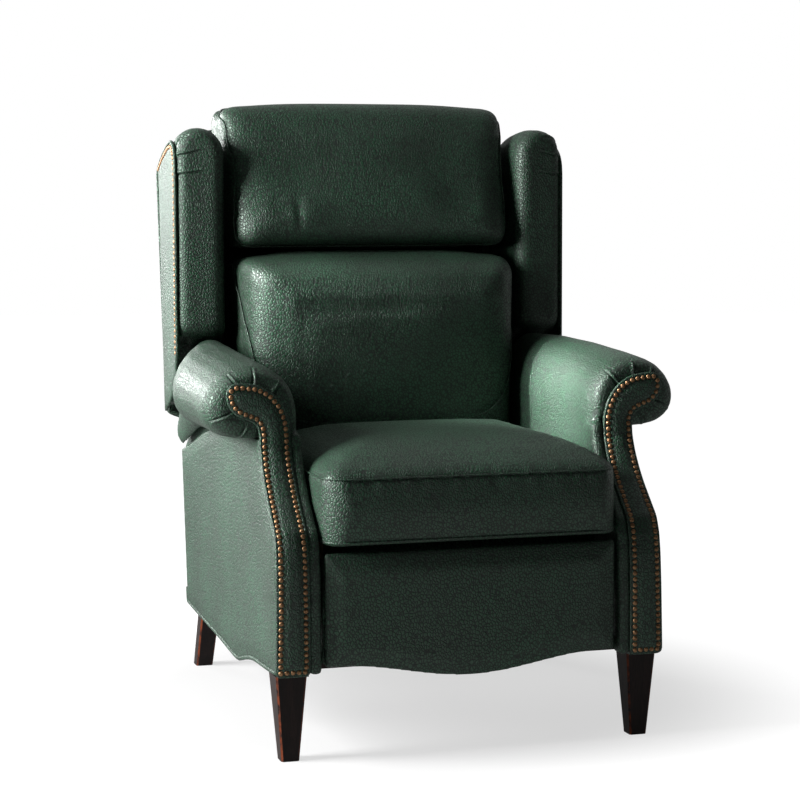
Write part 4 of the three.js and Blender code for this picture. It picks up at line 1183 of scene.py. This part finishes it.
def row_tree():
    tree = bpy.data.node_groups.new("row_of_small_shapes", "GeometryNodeTree")
    face = tree.interface
    inputs = dict.fromkeys(("Pitch", "Half Length", "Half Width", "Height", "Unevenness"), "NodeSocketFloat")
    inputs |= {"Segments": "NodeSocketInt", "Seed": "NodeSocketInt", "Material": "NodeSocketMaterial"}
    face.new_socket("Geometry", in_out="INPUT", socket_type="NodeSocketGeometry")
    sockets = {name: face.new_socket(name, in_out="INPUT", socket_type=kind) for name, kind in inputs.items()}
    face.new_socket("Geometry", in_out="OUTPUT", socket_type="NodeSocketGeometry")
    given = add(tree, "NodeGroupInput").outputs
    line = add(tree, "GeometryNodeMeshToCurve", {0: given["Geometry"]}).outputs[0]
    even = add(tree, "GeometryNodeResampleCurve", {"Curve": line, "Length": given["Pitch"]}, mode="LENGTH")
    ball = add(tree, "GeometryNodeMeshUVSphere", {"Segments": given["Segments"], "Rings": 6, "Radius": 1.0})
    place = add(tree, "GeometryNodeInputPosition").outputs[0]
    height = add(tree, "ShaderNodeSeparateXYZ", {0: place}).outputs[2]
    buried = add(tree, "FunctionNodeCompare", {0: height, 1: BURIED}, data_type="FLOAT", operation="LESS_THAN")
    dome = add(tree, "GeometryNodeDeleteGeometry", {0: ball.outputs[0], 1: buried.outputs[0]}, domain="POINT")
    halves = {0: given["Half Length"], 1: given["Half Width"], 2: given["Height"]}
    size = add(tree, "ShaderNodeCombineXYZ", halves).outputs[0]
    shape = add(tree, "GeometryNodeTransform", {"Geometry": dome.outputs[0], "Scale": size})
    normal = add(tree, "GeometryNodeInputNamedAttribute", {"Name": "stands_along"}, data_type="FLOAT_VECTOR")
    upright = add(tree, "FunctionNodeAlignRotationToVector", {"Vector": normal.outputs[0]}, axis="Z")
    ways = {"Rotation": upright.outputs[0], "Vector": add(tree, "GeometryNodeInputTangent").outputs[0]}
    turned = add(tree, "FunctionNodeAlignRotationToVector", ways, axis="X", pivot_axis="Z")
    low = reckoned(tree, "SUBTRACT", 1.0, given["Unevenness"])
    high = reckoned(tree, "ADD", 1.0, given["Unevenness"])
    uneven = add(tree, "FunctionNodeRandomValue", {2: low, 3: high, "Seed": given["Seed"]}, data_type="FLOAT")
    on_points = {
        "Points": even.outputs[0],
        "Instance": shape.outputs[0],
        "Rotation": turned.outputs[0],
        "Scale": uneven.outputs[1],
    }
    row = add(tree, "GeometryNodeInstanceOnPoints", on_points)
    real = add(tree, "GeometryNodeRealizeInstances", {0: row.outputs[0]})
    shaded = add(tree, "GeometryNodeSetShadeSmooth", {"Geometry": real.outputs[0], "Shade Smooth": True})
    finish = add(tree, "GeometryNodeSetMaterial", {"Geometry": shaded.outputs[0], "Material": given["Material"]})
    add(tree, "NodeGroupOutput", {0: finish.outputs[0]})
    return tree, {name: socket.identifier for name, socket in sockets.items()}


ROW_TREE, ROW_INPUTS = row_tree()


def row_along(name, body, line, directions, closed, material, sizes, seed):
    """A row of small shapes along a line, which stand along the directions given for its points."""
    last = len(line) - 1
    edges = [(k, k + 1) for k in range(last)] + ([(last, 0)] if closed else [])
    mesh = bpy.data.meshes.new(name)
    mesh.from_pydata([tuple(p) for p in line], edges, [])
    mesh.attributes.new("stands_along", "FLOAT_VECTOR", "POINT").data.foreach_set("vector", np.ravel(directions))
    path = bpy.data.objects.new(name + "_path", mesh)
    scene.collection.objects.link(path)
    row = path.modifiers.new("Row", "NODES")
    row.node_group = ROW_TREE
    for key, value in {**sizes, "Seed": seed, "Material": material}.items():
        row[ROW_INPUTS[key]] = value
    made = evaluated_mesh(path)
    bpy.data.objects.remove(path)
    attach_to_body(new_piece(name, made, material), body)
    print(name, len(made.polygons), "faces")


def laid_on(line, piece, lift):
    """The line moved onto a piece's surface, and the surface's direction at each point."""
    surface = tree_of(piece)
    points, ways = [], []
    for p in line:
        place, normal = surface.find_nearest(Vector(p))[:2]
        points.append(place + normal * lift)
        ways.append(normal)
    return np.array(points), eased(np.array(ways), 2)


print("row inputs:", ", ".join(ROW_INPUTS))

# %% Nails
WING_NAIL_INSET = 0.008
NAIL_LIFT = 0.0004
NAIL_SIZES = {"Pitch": 0.0101, "Half Length": 0.0042, "Half Width": 0.0042, "Height": 0.0025, "Unevenness": 0.03,
              "Segments": 12}


def inset_line(outline, axes, by):
    """The outline moved inward by a distance, seen along the third axis. Corners are mitred."""
    flat = outline[:, axes]
    area = 0.5 * np.sum(flat[:, 0] * np.roll(flat[:, 1], -1) - np.roll(flat[:, 0], -1) * flat[:, 1])

    def inward(step):
        return np.stack([-step[:, 1], step[:, 0]], 1) / np.linalg.norm(step, axis=1)[:, None] * np.sign(area)

    a, b = inward(flat - np.roll(flat, 1, 0)), inward(np.roll(flat, -1, 0) - flat)
    moved = outline.copy()
    moved[:, axes] += by * (a + b) / np.maximum(1 + (a * b).sum(1), 0.35)[:, None]
    return moved


def nailed_wing(p):
    """On the wing's outline above the arm and ahead of the outside back."""
    return p[2] > 0.628 and p[1] < 0.425


for number, (side, sign) in enumerate(SIDES.items()):
    panel, outline = arm_fronts[side]
    line = spaced(inset_line(outline, [0, 2], NAIL_INSET), 0.003)
    points, ways = laid_on(line, panel, NAIL_LIFT)
    row_along(f"arm_nails_{side}", "root", points, ways, True, antique_brass, NAIL_SIZES, 11 + number)
    panel, outline = wing_panels[side]
    line = part_of(spaced(inset_line(outline, [1, 2], WING_NAIL_INSET), 0.003), nailed_wing)
    line[:, 0] += sign * 0.01
    points, ways = laid_on(line, panel, NAIL_LIFT)
    row_along(f"wing_nails_{side}", "back", points, ways, False, antique_brass, NAIL_SIZES, 21 + number)

# %% Stitches
STITCH_LIFT = 0.0002
STITCH_SIZES = {"Pitch": 0.0052, "Half Length": 0.0017, "Half Width": 0.0005, "Height": 0.0006, "Unevenness": 0.08,
                "Segments": 6}
STITCHED = [
    ("seat_stitches", "seat", seat_seam, seat_cushion, (0, 0, 0.005)),
    ("back_stitches", "back", lower_seam, lower_cushion, (0, -0.005, 0)),
    ("pillow_stitches", "back", pillow_seam, pillow, (0, -0.005, 0)),
]
for number, (name, body, seam, piece, offset) in enumerate(STITCHED):
    points, ways = laid_on(seam + np.array(offset), piece, STITCH_LIFT)
    row_along(name, body, points, ways, True, thread, STITCH_SIZES, 31 + number)

# %% [markdown]
# ## Floor, light and background
#
# The picture is a cut-out on white with only a soft shadow. The floor is a pale disc. Seen directly or in a
# reflection it glows up to white, and its own diffuse white takes the lamps' light, so what the chair keeps from it
# shows as a shadow. Its glow is dimmed under the chair and close round it, which paints a soft shadow there, and is
# full further out, where the lamps' shadow doesn't show. The main light is a large soft box at the picture's left,
# as on the photograph: the faces that look left are bright and the fronts are dark. Two narrow lamps beside it stand
# for the gridded ones of a studio: one reaches past the left arm to the inner face of the right one, and one brushes
# the left wing from behind. A weak light from above and one from the front keep the dark faces from going black.

# %% Floor
FLOOR_RADIUS = 14.0
# Painted shadow: the floor's glow is lower under the chair than away from it, which darkens the floor there.
FLOOR_GLOW_WITH_PAINTED_SHADOW = (0.64, 1.0)  # under the chair, and away from it
FLOOR_GLOSS = 0.25  # of the glow, in reflections
FLOOR_WHITE = 0.26


def seen_directly(tree, path):
    """1 for rays from the camera and through glass."""
    return reckoned(tree, "MAXIMUM", path["Is Camera Ray"], path["Is Transmission Ray"])


def make_floor():
    net = bmesh.new()
    bmesh.ops.create_circle(net, cap_ends=True, segments=96, radius=FLOOR_RADIUS)
    material, tree, place = blank_material("pale_studio_floor")
    far = add(tree, "ShaderNodeVectorMath", {0: place}, operation="LENGTH").outputs["Value"]
    # The glow is dimmed within 0.42 m of the floor's middle, under the chair, and full beyond 0.85 m: a painted soft
    # shadow.
    edge = mapped(tree, far, 0.42, 0.85, interpolation_type="SMOOTHSTEP")
    path = add(tree, "ShaderNodeLightPath").outputs
    seen = reckoned(tree, "MULTIPLY_ADD", path["Is Glossy Ray"], FLOOR_GLOSS, seen_directly(tree, path))
    strength = reckoned(tree, "MULTIPLY", mapped(tree, edge, to=FLOOR_GLOW_WITH_PAINTED_SHADOW), seen)
    emission = add(tree, "ShaderNodeEmission", {"Strength": strength})
    diffuse = add(tree, "ShaderNodeBsdfDiffuse", {"Color": (*[FLOOR_WHITE] * 3, 1)})
    both = add(tree, "ShaderNodeAddShader", {0: emission.outputs[0], 1: diffuse.outputs[0]})
    add(tree, "ShaderNodeOutputMaterial", {"Surface": both.outputs[0]})
    new_piece("floor", kept_mesh(net, "floor"), material)


make_floor()
print("floor radius", FLOOR_RADIUS)

# %% Lamps and world
AMBIENT = 0.025  # what the chair's dull side gets from all round
FRONT_GLOSS, BACK_GLOSS = 0.01, 0.5  # what reflections show before the chair and behind it


def soft_box(name, place, target, size, power, spread=180):
    """A lamp of so many watts. A narrow spread, in degrees, is a grid before it."""
    lamp = bpy.data.lights.new(name, "AREA")
    lamp.shape = "RECTANGLE"
    lamp.size, lamp.size_y = size
    lamp.energy = power
    lamp.spread = math.radians(spread)
    holder = bpy.data.objects.new(name, lamp)
    scene.collection.objects.link(holder)
    holder.location = place
    holder.rotation_euler = (Vector(target) - Vector(place)).to_track_quat("-Z", "Y").to_euler()


soft_box("key_light_left", (-2.7, -0.2, 1.6), (0, 0, 0.6), (1.1, 1.6), 200)
soft_box("arm_light_left", (-2.3, 0.12, 1.9), (0.27, -0.15, 0.56), (0.26, 0.18), 1.2, spread=5)
soft_box("rim_light_left", (-1.7, 2.9, 1.4), (-0.35, 0.3, 0.85), (1.0, 0.8), 5, spread=36)
soft_box("top_light", (-0.4, 0.2, 3.2), (0, 0, 0.4), (2.0, 1.6), 1.5)
soft_box("fill_light_front", (1.2, -3.6, 2.2), (0, 0, 0.5), (2.0, 2.0), 0.6)


def make_world():
    """White where it is seen. Reflections show a pale backdrop behind the chair and a darker room before it."""
    world = bpy.data.worlds.new("white_studio")
    scene.world = world
    world.use_nodes = True
    tree = world.node_tree
    tree.nodes.clear()
    way = add(tree, "ShaderNodeSeparateXYZ", {0: add(tree, "ShaderNodeTexCoord").outputs["Generated"]}).outputs[1]
    backdrop = mapped(tree, way, -0.45, 0.35, (FRONT_GLOSS, BACK_GLOSS), interpolation_type="SMOOTHSTEP")
    path = add(tree, "ShaderNodeLightPath").outputs
    gloss = mixed(tree, path["Is Glossy Ray"], AMBIENT, backdrop)
    strength = mixed(tree, seen_directly(tree, path), gloss, 1.0)
    light = add(tree, "ShaderNodeBackground", {"Color": (1, 1, 1, 1), "Strength": strength})
    add(tree, "ShaderNodeOutputWorld", {"Surface": light.outputs[0]})


make_world()
scene.view_settings.view_transform = "Standard"
